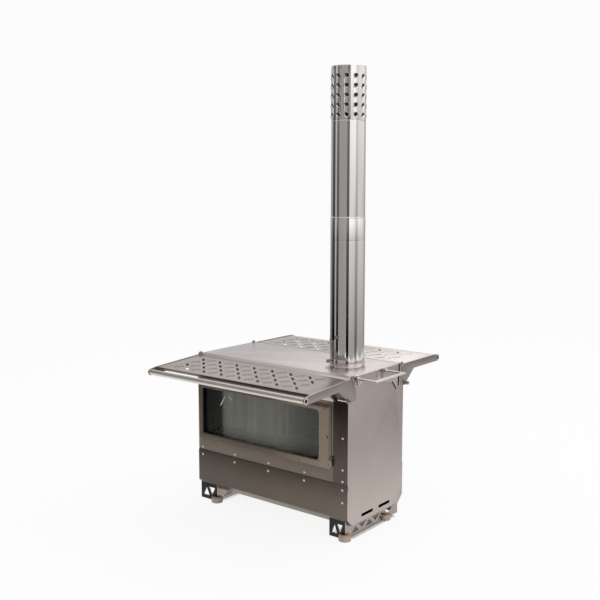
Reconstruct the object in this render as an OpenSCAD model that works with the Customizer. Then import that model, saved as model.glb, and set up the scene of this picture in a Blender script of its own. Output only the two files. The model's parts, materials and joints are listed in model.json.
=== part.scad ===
// Tent wood stove with a side window, two folding slotted shelves and a
// perforated spark arrestor on a three-piece flue.
// X runs along the window side, Y from the window face to the back, Z up.
// The origin lies on the floor under the middle of the body. Millimetres.

/* [Body] */
// Length of the body along the window side
body_l = 454; // [380:1:560]
// Depth of the body from window face to back face
body_w = 222; // [200:1:280]
// Height of the cooktop face above the floor
cooktop_h = 368; // [340:1:450]
// Height of the seam between the upper panels and the lower casing
seam_h = 127; // [122:1:134]
// Height of the flat underside of the casing above the floor
belly_h = 31; // [26:1:38]
// Thickness of the body sheet
sheet = 1.5; // [1:0.1:2]
// Width of the slanted long edges of the cooktop, measured flat
bevel_run = 15; // [13:1:18]
// Fall of the slanted long edges of the cooktop
bevel_drop = 7.5; // [5:0.5:9]
// Size of the slanted lower corners of the casing
casing_chamfer = 18; // [14:1:21]
// Width of the end panel's front return flange
flange_w = 40; // [20:1:50]
// Thickness of the return flange where it laps the front
flange_t = 0.8; // [0.5:0.1:1.2]

/* [Window] */
// Length of the window opening
window_l = 360; // [240:1:365]
// Height of the window opening
window_h = 114; // [80:1:125]
// Distance of the opening from the left end of the body
window_left = 16; // [14:1:30]
// Height of the opening's lower edge above the floor
window_sill = 172; // [170:1:180]
// Corner radius of the window opening
window_r = 8; // [4:1:16]
// Thickness of the window pane
glass_t = 4; // [3:0.5:5]
// How far the raised window frame stands proud
frame_t = 3; // [2:0.5:4]
// Width of the frame's right member
frame_right_w = 32; // [24:1:36]

/* [Firebox] */
// Height of the grate that carries the fire
grate_h = 158; // [150:1:164]
// Thickness of the grate plate
grate_t = 2.5; // [2:0.5:4]
// Depth of the baffle below the cooktop
baffle_drop = 38; // [30:1:45]
// Open length that the baffle leaves at the door end
baffle_gap = 200; // [120:1:260]

/* [Loading door] */
// Width of the door opening
door_w = 150; // [110:1:156]
// Height of the door opening
door_h = 150; // [100:1:160]
// Height of the opening's lower edge above the floor
door_sill = 172; // [168:1:180]
// Depth of the folded door pan
door_depth = 8.7; // [8:0.1:12]
// Length of the two slanted air slots in the door
draught_l = 26; // [18:1:30]
// Reach of the turned grip and of the carry handle beyond the body
end_reach = 58; // [52:1:80]

/* [Ash drawer] */
// Width of the ash drawer
drawer_w = 154; // [110:1:156]
// Height of the ash drawer tray
drawer_h = 54; // [30:1:56]
// Length of the ash drawer tray
drawer_l = 425; // [250:1:440]

/* [Shelves] */
// Width of the slotted plate of each shelf
shelf_w = 134; // [100:1:150]
// Distance of the shelf pivot from the face of the body
pivot_in = 12; // [8:1:16]
// Depth of the shelf pivot below the cooktop
pivot_drop = 3; // [2:0.5:5]
// How far the front shelf hangs below level, in degrees
front_droop = 3.3; // [0:0.1:5]
// How far the back shelf hangs below level, in degrees
back_droop = 0; // [0:0.1:5]
// Distance between neighbouring slots, both ways
slot_pitch = 27; // [22:1:32]
// Length of each slot
slot_l = 23; // [14:1:25]
// Width of each slot
slot_w = 6; // [3:0.5:6.5]
// How far the slots sit off the plate's middle, towards the door
slot_shift = 5; // [0:1:10]
// Outer diameter of the rail along each shelf
rail_d = 13; // [10:0.5:16]
// Diameter of the stop pins that rest on the wall
pin_d = 6; // [4:0.5:8]

/* [Flue] */
// Outer diameter of the lowest flue pipe
flue_d = 80; // [60:1:100]
// Wall of the flue pipes
flue_wall = 0.6; // [0.5:0.1:1]
// Distance of the flue from the right end of the body
flue_from_end = 84; // [64:1:110]
// Height of the lowest pipe above the cooktop
lower_pipe_h = 337; // [250:1:420]
// Length of the upper pipe's end that plugs into the lower pipe
socket_l = 67; // [40:1:90]
// Height of the spark arrestor's foot above the cooktop
arrestor_foot = 550; // [480:1:700]
// Height of the perforated section of the arrestor
arrestor_h = 119; // [116:1:160]
// Diameter of the arrestor's holes
spark_hole_d = 11; // [6:0.5:13]
// Height of the damper above the cooktop
damper_h = 70; // [50:1:120]

/* [Legs] */
// How far the leg frames stand in from the faces of the casing
leg_in = 5.5; // [4:0.5:9]
// Length of the folded returns of the left leg frame
leg_return_left = 55; // [36:1:56]
// Length of the folded returns of the right leg frame
leg_return_right = 44; // [36:1:60]
// Thickness of the leg frames
leg_t = 2; // [1.5:0.1:3]
// Diameter of the foot pads
pad_d = 28; // [20:1:32]

/* [Hidden] */
$fn = 48;

// Fits
running = 0.05;   // radial clearance of a pin, spindle or pipe joint
gap = 0.3;        // distance between faces of pieces that move apart

// Body levels
half_l = body_l / 2;
half_w = body_w / 2;
casing_y = half_w + sheet;              // outer face of the casing, which laps the panels
mitre = sheet * (sqrt(2) - 1);          // inner corner of a sheet folded through 45 degrees
tuck = 12;                              // how far the panels reach down inside the casing
panel_foot = seam_h - tuck;
lid_edge = cooktop_h - bevel_drop - sheet;

// Window
win_x0 = window_left - half_l;
win_x1 = win_x0 + window_l;
win_z1 = window_sill + window_h;
frame_left_w = window_left - 4;
frame_foot_w = 10;
frame_head_w = 16;
frame_flange = 6;                       // thin lower flange that takes the screws
frame_step = 4;                         // ledge round the raised part of the frame
pane_lap = 6;
gasket_t = 1.5;
pane_y = -half_w + sheet + gasket_t;    // outer face of the pane
clip_t = 1.5;
clip_l = 20;

// Rivets
rivet_r = 3;
rivet_t = 1.2;
rivet_columns = 5;
rivet_inset = 14;
rivet_up = 8;
rivet_down = 11;

// Shelves
pivot_y = half_w - pivot_in;
pivot_z = cooktop_h - pivot_drop;
pivot_r = 3;
pivot_boss = 6.5;
bracket_t = 2;
bracket_x = half_l + 1.5;               // inner face of the right brackets
plate_t = 1.5;
plate_u0 = pivot_in + 2;
plate_u1 = plate_u0 + shelf_w - 2;
plate_v = -0.5;                         // top of the plate, measured from the pivot
plate_lip = 6;
slot_rows = 4;
slot_cols = 2 * floor((body_l - 76) / (2 * slot_pitch));
arm_top = plate_v + 1.3;
arm_h = 18;
knee_u = pivot_in + 42;
rail_u = plate_u1 + 19;
rail_v = -9;
rail_wall = 2;
rail_boss = rail_d / 2 + 1.5;
pin_r = pin_d / 2;
pin_drop = 46;
pin_reach = 24;                         // how far a stop pin reaches along the wall
foot_in = 10;
foot_h = 5;
cap_t = 7;

// Flue
flue_x = half_l - flue_from_end;
flue_r = flue_d / 2;
bore_r = flue_r - flue_wall;
collar_r = bore_r - running;
collar_wall = 1;
collar_h = 33;                          // reach of the collar above the cooktop
collar_flange = 8;                      // the flange is fixed to the cooktop from below
upper_r = bore_r - running;
upper_bore = upper_r - flue_wall;
bead = flue_wall + 1;
bead_h = 8;
lower_foot = cooktop_h - sheet;
lower_top = cooktop_h + lower_pipe_h;
upper_foot = lower_top - socket_l;
upper_top = cooktop_h + arrestor_foot;
arrestor_top = upper_top + arrestor_h;
neck_l = 30;
spark_rows = 5;
spark_pitch = 20.8;
spark_drop = 23;                        // first row of holes below the top
spark_cols = 12;
clamp_wall = 1.2;
clamp_h = 16;
clamp_foot = cooktop_h + 1.8;
clamp_az = 218;                         // where the clamp's ears point, seen from above
ear_reach = 6;
ear_h = 9;
damper_az = 270;                        // where the damper's knob points, seen from above
spindle_r = 3;

// Handle
handle_z = cooktop_h - 5;
handle_bar_w = 8;
handle_bar_t = 3;
handle_near = -half_w + 24;
handle_far = handle_near + 112;
handle_pivot_x = half_l + 7;
handle_eye_r = 4;
handle_pin_r = 2;
lug_t = 2;

// Legs
leg_lift = 1.5;
leg_right_x = half_l - 10;
leg_left_x = 56 - half_l;
leg_half = casing_y - leg_in;
truss_web = 5;
chord = 5;
pad_h = 12;
pad_front_y = 1 - leg_half;
pad_back_y = half_w - 56;

// Left end
door_lap = 8;
door_x = -half_l - gap - door_depth;    // outer face of the door pan
door_t = 2;
door_mid_z = door_sill + door_h / 2;
draught_w = 4;
draught_gap = 8;                        // half distance of the slots' upper ends
draught_tilt = 40;                      // lean of each slot from upright
draught_z = door_sill + 65;             // height of the slots' upper ends
hinge_y = -door_w / 2 - door_lap - 8;
hinge_x = door_x + 2;
hinge_r = 5;
hinge_rod_r = 2;
knuckle_h = 12;
slider_t = 2;
slider_h = 28;
slider_half = 30;
slider_z = draught_z + 5;
latch_y = door_w / 2 - 5;
latch_z = door_sill + 28;
latch_t = 2;
latch_x = door_x - 2 - latch_t;         // outer face of the lever
latch_reach = 30;
latch_tail = 24;
keeper_y = latch_y + 21;
drawer_foot = belly_h + 21;
drawer_wall = 1.2;
drawer_seam = 0.1;                      // hairline seam between the tray's welded plates
drawer_x = -half_l - gap;               // where the tray meets its front plate
drawer_front_t = 2;
pull_half = 30;
pull_reach = 20;
pull_r = 3;
grate_slots = 14;

// ---------------------------------------------------------------- helpers

// A flat outline in Y and Z, given thickness along X from x
module yz(x, t) { translate([x, 0, 0]) rotate([90, 0, 90]) linear_extrude(t) children(); }

// A flat outline in X and Z, given thickness along Y from y
module xz(y, t) { translate([0, y + t, 0]) rotate([90, 0, 0]) linear_extrude(t) children(); }

// A rectangle between two corners
module rect(x0, y0, x1, y1) { translate([x0, y0]) square([x1 - x0, y1 - y0]); }

// A rectangle between two corners, with round corners
module round_rect(x0, y0, x1, y1, r) {
  rect(x0 + r, y0, x1 - r, y1);
  rect(x0, y0 + r, x1, y1 - r);
  for (x = [x0 + r, x1 - r]) for (y = [y0 + r, y1 - r]) translate([x, y]) circle(r, $fn = 32);
}

// A slot with round ends, along X
module slot(l, w) {
  square([l - w, w], center = true);
  for (s = [-1, 1]) translate([s * (l - w) / 2, 0]) circle(w / 2, $fn = 16);
}

// A cylinder along X from x, and one along Y from y
module x_rod(x, l, r) { translate([x, 0, 0]) rotate([0, 90, 0]) cylinder(h = l, r = r); }
module y_rod(y, l, r) { translate([0, y, 0]) rotate([-90, 0, 0]) cylinder(h = l, r = r); }

// A ring between two radii
module tube(r_in, r_out, h) {
  difference() {
    cylinder(h = h, r = r_out);
    translate([0, 0, -1]) cylinder(h = h + 2, r = r_in);
  }
}

// Triangular cut-outs in a row, pointing up and down in turn
module truss_holes(x0, z0, z1, pitch, count) {
  for (i = [0 : count - 1]) {
    lo = i % 2 == 0 ? z0 : z1;
    hi = i % 2 == 0 ? z1 : z0;
    polygon([
      [x0 + i * pitch + truss_web, lo],
      [x0 + (i + 2) * pitch - truss_web, lo],
      [x0 + (i + 1) * pitch, hi]
    ]);
  }
}

// ---------------------------------------------------------------- body

// Underside of the cooktop at a distance from the middle
function lid_under(y) = cooktop_h - sheet
  - max(0, y - half_w + bevel_run) * bevel_drop / bevel_run;

module cooktop() {
  color("gainsboro") difference() {
    yz(-half_l, body_l) polygon([
      [-half_w, lid_edge + sheet], [-half_w + bevel_run, cooktop_h],
      [half_w - bevel_run, cooktop_h], [half_w, lid_edge + sheet],
      [half_w, lid_edge], [half_w - bevel_run, cooktop_h - sheet],
      [-half_w + bevel_run, cooktop_h - sheet], [-half_w, lid_edge]
    ]);
    translate([flue_x, 0, cooktop_h - 10])
      cylinder(h = 20, r = flue_r + running + clamp_wall + gap);
  }
}

module front_panel() {
  color("rosybrown") xz(-half_w, sheet) difference() {
    rect(-half_l, panel_foot, half_l - sheet, lid_edge);
    round_rect(win_x0, window_sill, win_x1, win_z1, window_r);
  }
}

module back_panel() {
  color("silver") xz(half_w - sheet, sheet) rect(-half_l, panel_foot, half_l, lid_edge);
}

// Outline of an end panel, which fits inside the panels, the lid and the casing
module end_outline() {
  y1 = half_w - sheet;
  polygon(concat(
    [for (s = [-1, 1]) [s * (casing_y - casing_chamfer - mitre), belly_h + sheet]],
    [[half_w, belly_h + casing_chamfer + mitre], [half_w, panel_foot], [y1, panel_foot]],
    [[y1, lid_under(y1)], [half_w - bevel_run, cooktop_h - sheet]],
    [[bevel_run - half_w, cooktop_h - sheet], [-y1, lid_under(y1)]],
    [[-y1, panel_foot], [-half_w, panel_foot], [-half_w, belly_h + casing_chamfer + mitre]]
  ));
}

module right_end_panel() {
  air_slot_l = 47;
  air_slot_y = 34.6;
  latch_slot = [72, cooktop_h - 48.5];
  color("tan") {
    yz(half_l - sheet, sheet) difference() {
      union() {
        end_outline();
        rect(-half_w - flange_t, seam_h, -half_w + sheet, lid_edge);
      }
      for (s = [-1, 1]) translate([s * air_slot_y, belly_h + 14.5]) slot(air_slot_l, 7);
      translate(latch_slot) rotate(-48) slot(28, 4);
    }
    xz(-half_w - flange_t, flange_t) rect(half_l - flange_w, seam_h, half_l, lid_edge);
  }
}

module left_end_panel() {
  color("tan") yz(-half_l, sheet) difference() {
    end_outline();
    round_rect(-door_w / 2, door_sill, door_w / 2, door_sill + door_h, 6);
    rect(-drawer_w / 2 - 3, drawer_foot - 2, drawer_w / 2 + 3, drawer_foot + drawer_h + 4);
  }
}

module lower_casing() {
  inner = casing_y - sheet;
  color("sienna") yz(-half_l, body_l) polygon(concat(
    [[-casing_y, seam_h], [-casing_y, belly_h + casing_chamfer]],
    [[casing_chamfer - casing_y, belly_h], [casing_y - casing_chamfer, belly_h]],
    [[casing_y, belly_h + casing_chamfer], [casing_y, seam_h], [inner, seam_h]],
    [[inner, belly_h + casing_chamfer + mitre]],
    [for (s = [1, -1]) [s * (casing_y - casing_chamfer - mitre), belly_h + sheet]],
    [[-inner, belly_h + casing_chamfer + mitre], [-inner, seam_h]]
  ));
}

module body_rivets() {
  step = (body_l - 2 * rivet_inset) / (rivet_columns - 1);
  strip_x = half_l - rivet_inset;
  color("lightgray") for (side = [-1, 1]) {
    for (i = [0 : rivet_columns - 1]) {
      x = rivet_inset - half_l + i * step;
      on_flange = side < 0 && x > half_l - flange_w;
      rivet(side, x, seam_h + rivet_up, half_w + (on_flange ? flange_t : 0));
      rivet(side, x, seam_h - rivet_down, casing_y);
    }
  }
  color("lightgray") {
    for (z = [seam_h + 34, seam_h + 105]) rivet(-1, strip_x, z, half_w + flange_t);
    rivet(-1, strip_x, seam_h - 40, casing_y);
  }
}

// A pan-head rivet on the front (side -1) or the back (side 1)
module rivet(side, x, z, y) {
  translate([x, side * y, z]) rotate([-side * 90, 0, 0])
    cylinder(h = rivet_t, r1 = rivet_r, r2 = 0.6 * rivet_r, $fn = 20);
}

// Blocks above the window that a transport cover hooks over
module cover_keepers() {
  place = half_l - 49;
  z0 = cooktop_h - 55;
  tall = 12;
  color("silver") for (x = [-place, place]) translate([x, 0, z0])
    xz(-half_w - flange_t - 9, 9 + (x > 0 ? 0 : flange_t))
      polygon([[-17, 0], [17, 0], [8, tall], [-8, tall]]);
}

// ---------------------------------------------------------------- window

module window_frame() {
  x0 = win_x0 - frame_left_w;
  x1 = win_x1 + frame_right_w;
  z0 = window_sill - frame_foot_w;
  z1 = win_z1 + frame_head_w;
  color("rosybrown") difference() {
    union() {
      xz(-half_w - frame_t / 2, frame_t / 2) rect(x0, z0 - frame_flange, x1, z1);
      xz(-half_w - frame_t, frame_t / 2) difference() {
        round_rect(x0 + 1, z0, x1 - frame_step, z1 - frame_step, 4);
      }
    }
    xz(-half_w - frame_t - 1, frame_t + 2)
      round_rect(win_x0, window_sill, win_x1, win_z1, window_r);
  }
}

module window_gasket() {
  color("dimgray") xz(-half_w + sheet, gasket_t) difference() {
    rect(win_x0 - pane_lap, window_sill - pane_lap, win_x1 + pane_lap, win_z1 + pane_lap);
    rect(win_x0 - 1, window_sill - 1, win_x1 + 1, win_z1 + 1);
  }
}

module window_glass() {
  color([0.3, 0.34, 0.3, 0.6]) xz(pane_y, glass_t)
    rect(win_x0 - pane_lap, window_sill - pane_lap, win_x1 + pane_lap, win_z1 + pane_lap);
}

// One Z-shaped clip: a foot on the panel and a tongue over the edge of the pane
module glass_clip() {
  back = glass_t + gasket_t + gap;
  translate([-clip_l / 2, -half_w + sheet, 0]) rotate([90, 0, 90]) linear_extrude(clip_l) {
    rect(0, -clip_t - 5.5, clip_t, 0);
    rect(0, -clip_t, back + clip_t, 0);
    rect(back, 0, back + clip_t, pane_lap - gap);
  }
}

module glass_clips() {
  color("silver") for (i = [0 : 2]) {
    x = win_x0 + window_l * (1 + 2 * i) / 6;
    translate([x, 0, window_sill - pane_lap - gap]) glass_clip();
    translate([x, 0, win_z1 + pane_lap + gap]) mirror([0, 0, 1]) glass_clip();
  }
}

module frame_screws() {
  foot_z = window_sill - frame_foot_w - frame_flange / 2;
  head_z = win_z1 + frame_head_w - frame_step / 2;
  color("lightgray") {
    for (i = [0 : 2]) {
      x = win_x0 + window_l * (1 + 2 * i) / 6;
      translate([x, -half_w - frame_t / 2, foot_z]) rotate([90, 0, 0])
        cylinder(h = 1.5, r = 2.5, $fn = 20);
    }
    for (x = [win_x0 + 20, win_x1 - 20]) translate([x, -half_w - frame_t / 2, head_z + 0.1])
      rotate([90, 0, 0]) cylinder(h = 1.5, r = 1.8, $fn = 20);
    translate([win_x1 + frame_right_w / 2 + 8, -half_w - frame_t, window_sill + 57])
      rotate([90, 0, 0]) cylinder(h = 1, r = 2.5, $fn = 20);
  }
}

module frame_catch() {
  x = win_x1 + frame_right_w + gap;
  wide = 4;
  color("whitesmoke") {
    xz(-half_w - 4, 4) rect(x, window_sill - 9, x + wide, window_sill + 14);
    xz(-half_w - 4 - 1.5, 1.5) rect(x - 4, window_sill - 3, x + wide, window_sill + 8);
  }
}

// ---------------------------------------------------------------- firebox

module fire_grate() {
  edge = 2;
  pitch = (body_l - 40) / grate_slots;
  color("dimgray") translate([0, 0, grate_h - grate_t]) linear_extrude(grate_t) difference() {
    square([body_l - 2 * sheet - 2 * edge, body_w - 2 * sheet - 2 * edge], center = true);
    for (i = [0 : grate_slots - 1]) for (j = [-1 : 1])
      translate([(i - (grate_slots - 1) / 2) * pitch, j * (body_w - 30) / 3])
        rotate(90) slot(50, 7);
  }
}

// A pair of folded ledges on the long walls, whose upper faces lie at z
module ledges(x0, x1, z) {
  leg = 8;
  for (s = [0, 1]) mirror([0, s, 0]) yz(x0, x1 - x0) {
    rect(half_w - sheet - leg, z - sheet, half_w - sheet, z);
    rect(half_w - 2 * sheet, z - leg - sheet, half_w - sheet, z);
  }
}

module grate_ledges() { color("gray") ledges(20 - half_l, half_l - 20, grate_h - grate_t); }

module baffle_plate() {
  z = cooktop_h - baffle_drop;
  color("dimgray") translate([0, 0, z]) linear_extrude(2)
    rect(baffle_gap - half_l, 1 + sheet - half_w, half_l - sheet - 1, half_w - sheet - 1);
}

module baffle_ledges() {
  color("gray") ledges(baffle_gap + 10 - half_l, half_l - 20, cooktop_h - baffle_drop);
}

// ---------------------------------------------------------------- ash drawer

// A floor, two sides and an inner end, tack-welded along their seams; the front plate closes
// the other end
module ash_drawer() {
  y1 = drawer_w / 2;
  y_in = y1 - drawer_wall;
  z_in = drawer_wall + drawer_seam;
  color("silver") translate([0, 0, drawer_foot]) {
    yz(drawer_x, drawer_l) rect(-y1, 0, y1, drawer_wall);
    for (s = [0, 1]) mirror([0, s, 0]) yz(drawer_x, drawer_l) rect(y_in, z_in, y1, drawer_h);
    yz(drawer_x + drawer_l - drawer_wall, drawer_wall)
      rect(drawer_seam - y_in, z_in, y_in - drawer_seam, drawer_h);
  }
}

module drawer_front() {
  y1 = drawer_w / 2 + 9;
  color("silver") yz(drawer_x - drawer_front_t, drawer_front_t)
    round_rect(-y1, drawer_foot - 8, y1, drawer_foot + drawer_h + 10, 5);
}

module drawer_pull() {
  x = drawer_x - drawer_front_t;
  z = drawer_foot + drawer_h / 2;
  color("gray") translate([0, 0, z]) {
    for (s = [-1, 1]) translate([0, s * pull_half, 0]) x_rod(x - pull_reach, pull_reach, pull_r);
    translate([x - pull_reach, 0, 0])
      y_rod(-pull_half - pull_r, 2 * (pull_half + pull_r), pull_r);
  }
}

module drawer_runners() {
  color("gray") for (s = [0, 1]) mirror([0, s, 0]) yz(4 - half_l, drawer_l - 12) {
    rect(drawer_w / 2 - 14, drawer_foot - 0.2 - sheet, drawer_w / 2 - 2, drawer_foot - 0.2);
    rect(drawer_w / 2 - 2 - sheet, belly_h + sheet, drawer_w / 2 - 2, drawer_foot - 0.2);
  }
}

// ---------------------------------------------------------------- loading door

// The two slanted draught slots, as outlines in Y and Z
module draught_slots() {
  for (s = [-1, 1]) {
    lean = s * draught_tilt;
    translate([s * draught_gap, draught_z]) rotate(lean - 90)
      translate([(draught_l - draught_w) / 2, 0]) slot(draught_l, draught_w);
  }
}

module door_pan() {
  y1 = door_w / 2 + door_lap;
  z0 = door_sill - door_lap;
  z1 = door_sill + door_h + door_lap;
  color("tan") difference() {
    yz(door_x, door_depth) round_rect(-y1, z0, y1, z1, 7);
    yz(door_x + door_t, door_depth)
      round_rect(sheet - y1, z0 + sheet, y1 - sheet, z1 - sheet, 7 - sheet);
    yz(door_x - 1, door_t + 2) draught_slots();
    translate([0, latch_y, latch_z]) x_rod(door_x - 1, door_t + 2, spindle_r + running);
  }
}

module door_gasket() {
  y1 = door_w / 2 + door_lap - sheet - 0.2;
  z0 = door_sill - door_lap + sheet + 0.2;
  z1 = door_sill + door_h + door_lap - sheet - 0.2;
  rope = 5;
  color("dimgray") yz(door_x + door_t, door_depth - door_t + gap / 2) difference() {
    round_rect(-y1, z0, y1, z1, 5);
    round_rect(rope - y1, z0 + rope, y1 - rope, z1 - rope, 3);
  }
}

// Heights of the feet of the two frame lugs; the door's knuckles stand on them
function lug_feet() = [door_sill + 14, door_sill + door_h - 40];

module hinge_barrel(z) {
  translate([hinge_x, hinge_y, z]) tube(hinge_rod_r + running, hinge_r, knuckle_h);
}

module hinge_lugs() {
  color("gray") for (z = lug_feet()) {
    hinge_barrel(z);
    difference() {
      translate([hinge_x, hinge_y - 2.5, z]) cube([-half_l - hinge_x, 5, knuckle_h]);
      translate([hinge_x, hinge_y, z - 1]) cylinder(h = knuckle_h + 2, r = hinge_r - 0.5);
    }
  }
}

module door_knuckles() {
  color("gray") for (foot = lug_feet()) {
    z = foot + knuckle_h + gap;
    hinge_barrel(z);
    difference() {
      translate([hinge_x - 2, hinge_y, z])
        cube([4, -door_w / 2 - door_lap - hinge_y, knuckle_h]);
      translate([hinge_x, hinge_y, z - 1]) cylinder(h = knuckle_h + 2, r = hinge_r - 0.5);
    }
  }
}

module hinge_rod() {
  z0 = lug_feet()[0] - 4;
  z1 = lug_feet()[1] + 2 * knuckle_h + gap;
  color("lightgray") translate([hinge_x, hinge_y, 0]) {
    translate([0, 0, z0]) cylinder(h = z1 - z0, r = hinge_rod_r);
    translate([0, 0, z1 + gap]) cylinder(h = 2, r = hinge_rod_r + 1.5);
    translate([0, 0, z1]) cylinder(h = gap, r = hinge_rod_r);
  }
}

module latch_lever() {
  color("gray") {
    yz(latch_x, latch_t) translate([latch_y, latch_z]) {
      circle(8);
      rect(-4, -latch_tail, 4, latch_reach);
      translate([0, -latch_tail]) circle(6);
    }
    translate([0, latch_y, latch_z]) {
      x_rod(latch_x + latch_t, door_x - latch_x - latch_t - gap, 6);
      x_rod(door_x - gap, door_t + 1 + gap, spindle_r);
      x_rod(door_x + door_t + gap, 1.5, 6);
    }
  }
}

module latch_grip() {
  x_end = -half_l - end_reach;
  l = latch_x - x_end;
  color("saddlebrown") translate([x_end, latch_y, latch_z - latch_tail]) rotate([0, 90, 0])
    rotate_extrude() polygon([
      [0, 0], [4, 0], [7, 2.5], [8.2, 8], [8.5, 0.4 * l], [7, 0.75 * l], [4.5, 0.88 * l],
      [3.5, l], [0, l]
    ]);
}

module latch_keeper() {
  back_x = -half_l;
  lip = 2.2;
  color("gray") translate([0, keeper_y, 0]) xz(0, 12) {
    rect(latch_x - gap - lip, latch_z - 12, back_x, latch_z - 4.5);
    rect(latch_x - gap - lip, latch_z - 4.5, latch_x - gap, latch_z + 6);
    rect(back_x - 2, latch_z - 20, back_x, latch_z - 12);
  }
}

module air_slider() {
  x = door_x - gap - slider_t;
  color("silver") {
    yz(x, slider_t) rect(-slider_half, slider_z, slider_half, slider_z + slider_h);
    translate([0, 0, slider_z + slider_h / 2]) x_rod(x - 10, 10, 5);
  }
}

module slider_guides() {
  x = door_x;
  over = x - slider_t - 2 * gap;
  color("gray") for (s = [0, 1]) mirror([0, s, 0])
    translate([0, 0, slider_z - slider_h - 1]) linear_extrude(2 * slider_h + 2) {
      rect(over - 1.5, slider_half + gap, x, slider_half + 4);
      rect(over - 1.5, slider_half - 4, over, slider_half + gap);
    }
}

// ---------------------------------------------------------------- shelves

// Places a shelf piece, drawn with Y outward and Z up from its pivot,
// on the front (side -1) or the back (side 1) of the body
module on_shelf(side, droop) {
  mirror([0, side < 0 ? 1 : 0, 0]) translate([0, pivot_y, pivot_z]) rotate([-droop, 0, 0])
    children();
}

// Outward place of the stop pins, which rest on the wall when the shelf is down
function pin_u(droop) = (pivot_in + flange_t + gap + pin_r + pin_drop * sin(droop)) / cos(droop);

module shelf_plate() {
  half = bracket_x;
  mid = (plate_u0 + plate_u1) / 2;
  translate([0, 0, plate_v - plate_t]) linear_extrude(plate_t) difference() {
    rect(-half, plate_u0, half, plate_u1);
    for (col = [0 : slot_cols - 1]) for (row = [0 : slot_rows - 1])
      translate([
        (col - (slot_cols - 1) / 2) * slot_pitch - slot_shift,
        mid + (row - (slot_rows - 1) / 2) * slot_pitch
      ]) rotate((row + col) % 2 == 0 ? 45 : -45) slot(slot_l, slot_w);
  }
  translate([-half, plate_u1 - plate_t, plate_v - plate_lip])
    cube([2 * half, plate_t, plate_lip - plate_t]);
}

// Outline of a bracket: the arm under the plate, the diagonal and the foot with its stop pin
module bracket_outline(droop) {
  pu = pin_u(droop);
  difference() {
    union() {
      polygon([
        [-5, -2], [-foot_in, 4 - pin_drop], [-foot_in, -pin_drop - foot_h],
        [pu + foot_h, -pin_drop - foot_h], [pu + foot_h, 3 - pin_drop],
        [knee_u, arm_top - arm_h], [plate_u1, arm_top - arm_h],
        [rail_u, rail_v - rail_boss], [rail_u, rail_v + rail_boss], [plate_u1 + 4, arm_top],
        [0, arm_top]
      ]);
      circle(pivot_boss);
      translate([rail_u, rail_v]) circle(rail_boss);
    }
    circle(pivot_r + running);
    translate([rail_u, rail_v]) circle(rail_d / 2 + running);
    translate([pu, -pin_drop]) circle(pin_r + running);
  }
}

module bracket(end, droop) {
  x = end > 0 ? bracket_x : -bracket_x - bracket_t;
  yz(x, bracket_t) bracket_outline(droop);
}

module rail() {
  half = bracket_x + bracket_t;
  translate([0, rail_u, rail_v]) difference() {
    x_rod(-half, 2 * half, rail_d / 2);
    x_rod(-half - 1, 2 * half + 2, rail_d / 2 - rail_wall);
  }
}

module stop_pins(droop) {
  inner = half_l - pin_reach;
  outer = bracket_x + bracket_t + 2;
  translate([0, pin_u(droop), -pin_drop])
    for (x = [-outer, inner]) x_rod(x, outer - inner, pin_r);
}

module pin_caps(droop) {
  outer = bracket_x + bracket_t + 2;
  translate([0, pin_u(droop), -pin_drop])
    for (x = [-outer - cap_t, outer]) x_rod(x, cap_t, pin_r + 1.5);
}

module front_shelf_plate() { color("gainsboro") on_shelf(-1, front_droop) shelf_plate(); }
module front_bracket_left() {
  color("rosybrown") on_shelf(-1, front_droop) bracket(-1, front_droop);
}
module front_bracket_right() {
  color("rosybrown") on_shelf(-1, front_droop) bracket(1, front_droop);
}
module front_rail() { color("silver") on_shelf(-1, front_droop) rail(); }
module front_stop_pins() { color("silver") on_shelf(-1, front_droop) stop_pins(front_droop); }
module front_pin_caps() { color("black") on_shelf(-1, front_droop) pin_caps(front_droop); }

module back_shelf_plate() { color("gainsboro") on_shelf(1, back_droop) shelf_plate(); }
module back_bracket_left() {
  color("rosybrown") on_shelf(1, back_droop) bracket(-1, back_droop);
}
module back_bracket_right() {
  color("rosybrown") on_shelf(1, back_droop) bracket(1, back_droop);
}
module back_rail() { color("silver") on_shelf(1, back_droop) rail(); }
module back_stop_pins() { color("silver") on_shelf(1, back_droop) stop_pins(back_droop); }
module back_pin_caps() { color("black") on_shelf(1, back_droop) pin_caps(back_droop); }

// Shoulder studs on the end panels, with flat heads outside the brackets
module shelf_pivots() {
  shank = bracket_x - half_l + bracket_t + gap;
  color("dimgray") for (side = [-1, 1]) for (end = [0, 1]) mirror([end, 0, 0])
    translate([0, side * pivot_y, pivot_z]) {
      x_rod(half_l, shank, pivot_r);
      x_rod(half_l + shank, 1.5, pivot_r + 1.5);
    }
}

// ---------------------------------------------------------------- legs

// Underside of the casing at a distance from the middle
function belly_at(y) = belly_h + max(0, y - casing_y + casing_chamfer);

// Side plate of a leg frame: it follows the underside and the slanted corners
module leg_side_outline() {
  flat = casing_y - casing_chamfer;
  pitch = 2 * flat / 7;
  difference() {
    polygon([
      [-leg_half, leg_lift], [leg_half, leg_lift], [leg_half, belly_at(leg_half)],
      [flat, belly_h], [-flat, belly_h], [-leg_half, belly_at(leg_half)]
    ]);
    truss_holes(-3.5 * pitch, leg_lift + chord, belly_h - chord, pitch, 6);
  }
}

// One leg frame: a side plate and two returns folded towards the left
module leg_frame(x, l) {
  inner = leg_half - leg_t;
  pitch = l / 3;
  color("gray") {
    yz(x - leg_t / 2, leg_t) leg_side_outline();
    for (s = [0, 1]) mirror([0, s, 0]) difference() {
      yz(x + leg_t / 2 - l, l - leg_t) polygon([
        [inner, leg_lift], [leg_half, leg_lift], [leg_half, belly_at(leg_half)],
        [inner, belly_at(inner)]
      ]);
      xz(inner - 1, leg_t + 2) translate([x + leg_t / 2 - l, 0])
        truss_holes(0, leg_lift + 7, belly_at(inner) - 6, pitch, 2);
    }
  }
}

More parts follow.
